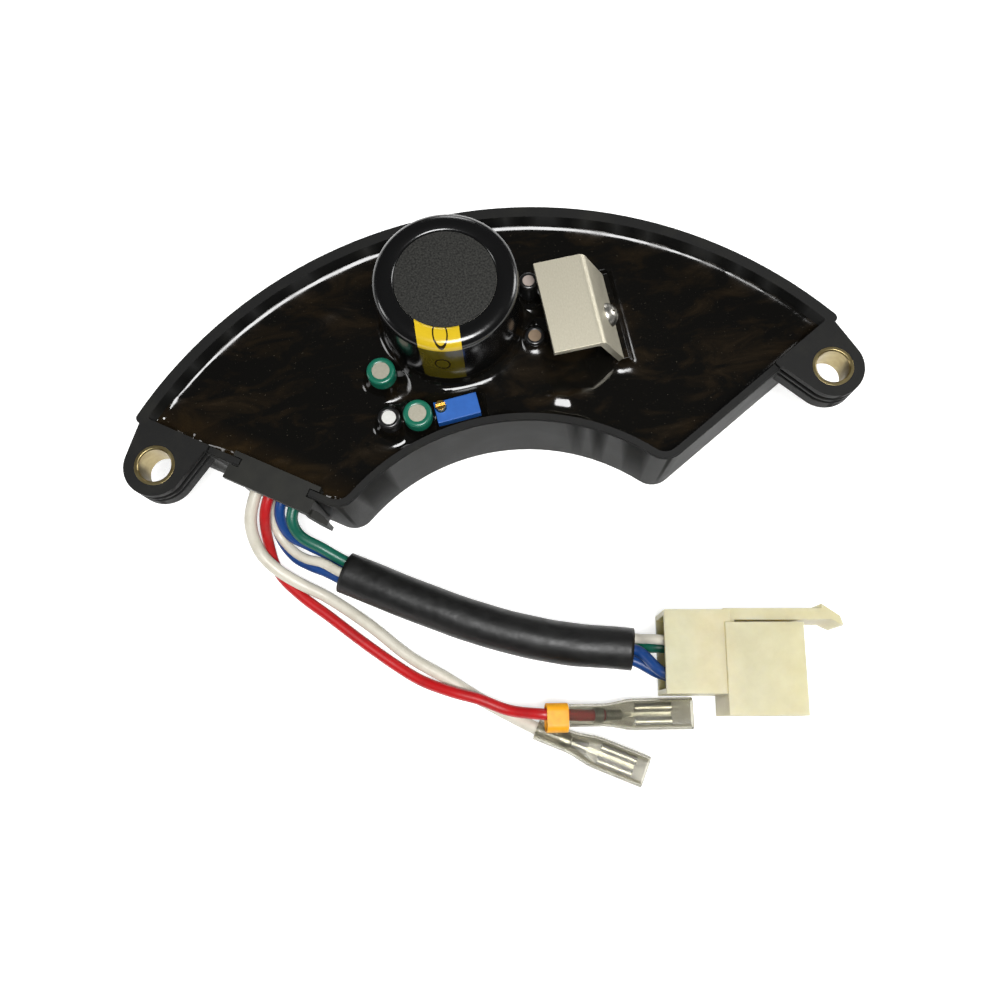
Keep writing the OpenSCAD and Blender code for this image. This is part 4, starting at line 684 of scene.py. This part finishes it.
def can_end(name, code, worn_code):
    """The bare end of a small can: drawn aluminium, dulled and mottled by handling."""
    made, tree, body, place = surface(name, code, 0.45, 0.55)
    mottle = add(tree, "TexNoise", {"Scale": 1700, "Detail": 4, "Roughness": 0.7}, {"Vector": place})
    tone = add(
        tree, "Mix", {"A": linear(code), "B": linear(worn_code)},
        {"Factor": mottle.outputs["Fac"]}, data_type="RGBA",
    )
    tree.links.new(tone.outputs["Result"], body.inputs["Base Color"])
    dull = add(tree, "MapRange", {"To Min": 0.35, "To Max": 0.6}, {"Value": mottle.outputs["Fac"]})
    tree.links.new(dull.outputs[0], body.inputs["Roughness"])
    bump = add(tree, "Bump", {"Strength": 0.25, "Distance": 0.0001}, {"Height": mottle.outputs["Fac"]})
    tree.links.new(bump.outputs[0], body.inputs["Normal"])
    return made


film_green = small_sleeve_skin("green_shrunk_film", "#136650", 0.3)
film_black = small_sleeve_skin("black_shrunk_film", "#161616", 0.3)
grey_end = can_end("grained_can_end", "#c4c0b0", "#9a9583")
bright_end = can_end("bright_can_end", "#f0f0ec", "#d2d2cc")
pink_end = can_end("pinkish_can_end", "#c4b6ae", "#a89a91")
brown_end = can_end("brownish_can_end", "#ab957e", "#8c7862")
for name, x, y, r, base, height, film, slot, end_skin in (
    ("green_capacitor_rear", -23.1, 13.4, 3.15, 14.2, 11.1, film_green, "sleeve_green", grey_end),
    ("green_capacitor_front", -16.4, 2.6, 3.15, 14.2, 11.1, film_green, "sleeve_green", grey_end),
    ("black_capacitor", -22.6, 2.6, 2.5, 14.2, 11.0, film_black, "sleeve_black", bright_end),
    ("slim_capacitor", 11.7, 28.6, 2.1, 16.0, 11.0, film_black, "sleeve_black", pink_end),
    ("low_capacitor", 11.6, 18.3, 2.3, 14.2, 6.3, film_black, "sleeve_black", brown_end),
):
    t = 0.15
    film_piece = turned(name + "_film", [
        (r, 0), (r, height - 0.45), (r - 0.13, height - 0.13), (r - 0.45, height), (r * 0.64, height),
        (r * 0.62, height - 0.05), (r * 0.62, height - t), (r - 0.45, height - t), (r - t, height - 0.45), (r - t, 0),
    ], (x, y, base), film, 48)
    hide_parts(name + "_sleeve")
    end = softened(name + "_end", name + "_can", 0.05, end_skin)


# Trimmer.
# A blue multi-turn cermet trimmer, moulded and sealed, with notched feet, three pins and a
# small slotted brass screw in its rear left corner; the screw turns.
# blue thermoset moulding, satin
trimmer_blue, tree, body, place = surface("trimmer_blue", "#1f5cae", 0.42)
shade = add(tree, "TexNoise", {"Scale": 700, "Detail": 4}, {"Vector": place})
tone = add(
    tree, "Mix", {"A": linear("#2464b8"), "B": linear("#1a509c")},
    {"Factor": shade.outputs["Fac"]}, data_type="RGBA",
)
tree.links.new(tone.outputs["Result"], body.inputs["Base Color"])
trimmer = softened("trimmer_housing", "trimmer_body", 0.15, trimmer_blue, 3)
# free cutting brass, turned and slotted, lightly tarnished
turned_brass, tree, body, place = surface("turned_brass", "#c9a55a", 0.26, 1.0)
tarnish = add(tree, "TexNoise", {"Scale": 1600, "Detail": 4}, {"Vector": place})
tone = add(
    tree, "Mix", {"A": linear("#d8b568"), "B": linear("#a57f3c")},
    {"Factor": tarnish.outputs["Fac"]}, data_type="RGBA",
)
tree.links.new(tone.outputs["Result"], body.inputs["Base Color"])
adjuster = softened("trimmer_brass_screw", "trimmer_screw", 0.08, turned_brass, 2, "adjuster")
pins = softened("trimmer_pin_row", "trimmer_pins", 0, tinned_brass)


# Heatsink bracket, screw, nut and power transistor.
# Bent aluminium sheet with a tumbled face, held to the transistor behind its leaning flange by
# one M3 screw with a domed head and a nut.
# soft aluminium sheet, tumbled after bending: pale, dull, evenly grained
brushed_sheet, tree, body, place = surface("tumbled_aluminium_sheet", "#d4cebb", 0.45, 0.75)
turn = add(
    tree, "Mapping", {"Rotation": (0, 0, math.radians(-3.8)), "Scale": (1.0, 0.45, 1.0)}, {"Vector": place},
)
# a tumbled grain of about 0.3 mm, a little drawn out along the bend
brush = add(tree, "TexNoise", {"Scale": 3400, "Detail": 4, "Roughness": 0.7}, {"Vector": turn.outputs[0]})
dull = add(tree, "MapRange", {"To Min": 0.4, "To Max": 0.6}, {"Value": brush.outputs["Fac"]})
tree.links.new(dull.outputs[0], body.inputs["Roughness"])
tone = add(
    tree, "Mix", {"A": linear("#ddd8c6"), "B": linear("#b9b29b")},
    {"Factor": brush.outputs["Fac"]}, data_type="RGBA",
)
tree.links.new(tone.outputs["Result"], body.inputs["Base Color"])
bump = add(tree, "Bump", {"Strength": 0.2, "Distance": 0.0001}, {"Height": brush.outputs["Fac"]})
tree.links.new(bump.outputs[0], body.inputs["Normal"])
bracket = softened("aluminium_bracket", "heatsink_bracket", 0.12, brushed_sheet)
# cold headed steel, bright zinc plated
zinc_screw, tree, body, place = surface("zinc_plated_steel", "#c7c4bb", 0.3, 1.0)
spots = add(tree, "TexNoise", {"Scale": 1500, "Detail": 5}, {"Vector": place})
dull = add(tree, "MapRange", {"To Min": 0.2, "To Max": 0.5}, {"Value": spots.outputs["Fac"]})
tree.links.new(dull.outputs[0], body.inputs["Roughness"])
screw = softened("bracket_pan_screw", "bracket_screw", 0.1, zinc_screw)
nut = softened("bracket_hex_nut", "bracket_nut", 0.12, zinc_screw)
# transfer moulded epoxy, matt black with fine pits
moulded_epoxy, tree, body, place = surface("moulded_epoxy", "#242424", 0.55)
pits = add(tree, "TexNoise", {"Scale": 3000, "Detail": 3}, {"Vector": place})
bump = add(tree, "Bump", {"Strength": 0.2, "Distance": 0.0001}, {"Height": pits.outputs["Fac"]})
tree.links.new(bump.outputs[0], body.inputs["Normal"])
transistor = softened("power_transistor_body", "power_transistor", 0.1, moulded_epoxy)


# Board and the parts under the resin.
# A glass laminate with a green mask carries everything; the diodes, resistors and control chip
# lie in the resin, so each keeps its solid and gets its own finish.
# woven glass laminate under a green solder mask, the weave about 1.1 mm apart
laminate, tree, body, place = surface("green_laminate", "#3f6b3a", 0.35)
weave = add(tree, "TexWave", {"Scale": 900, "Distortion": 1.5}, {"Vector": place})
tone = add(
    tree, "Mix", {"A": linear("#3f6b3a"), "B": linear("#365f33")},
    {"Factor": weave.outputs["Fac"]}, data_type="RGBA",
)
tree.links.new(tone.outputs["Result"], body.inputs["Base Color"])
# dipped tan lacquer, slightly uneven
lacquer, tree, body, place = surface("resistor_lacquer", "#c9b48a", 0.4)
film = add(tree, "TexNoise", {"Scale": 900, "Detail": 3}, {"Vector": place})
tone = add(
    tree, "Mix", {"A": linear("#c9b48a"), "B": linear("#b39c70")},
    {"Factor": film.outputs["Fac"]}, data_type="RGBA",
)
tree.links.new(tone.outputs["Result"], body.inputs["Base Color"])
for node, material in (
    ("circuit_board", laminate), ("rectifier_diodes", moulded_epoxy), ("resistors", lacquer),
    ("power_resistors", lacquer), ("control_chip", moulded_epoxy),
):
    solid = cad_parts[node]
    solid.data.materials.clear()
    solid.data.materials.append(material)
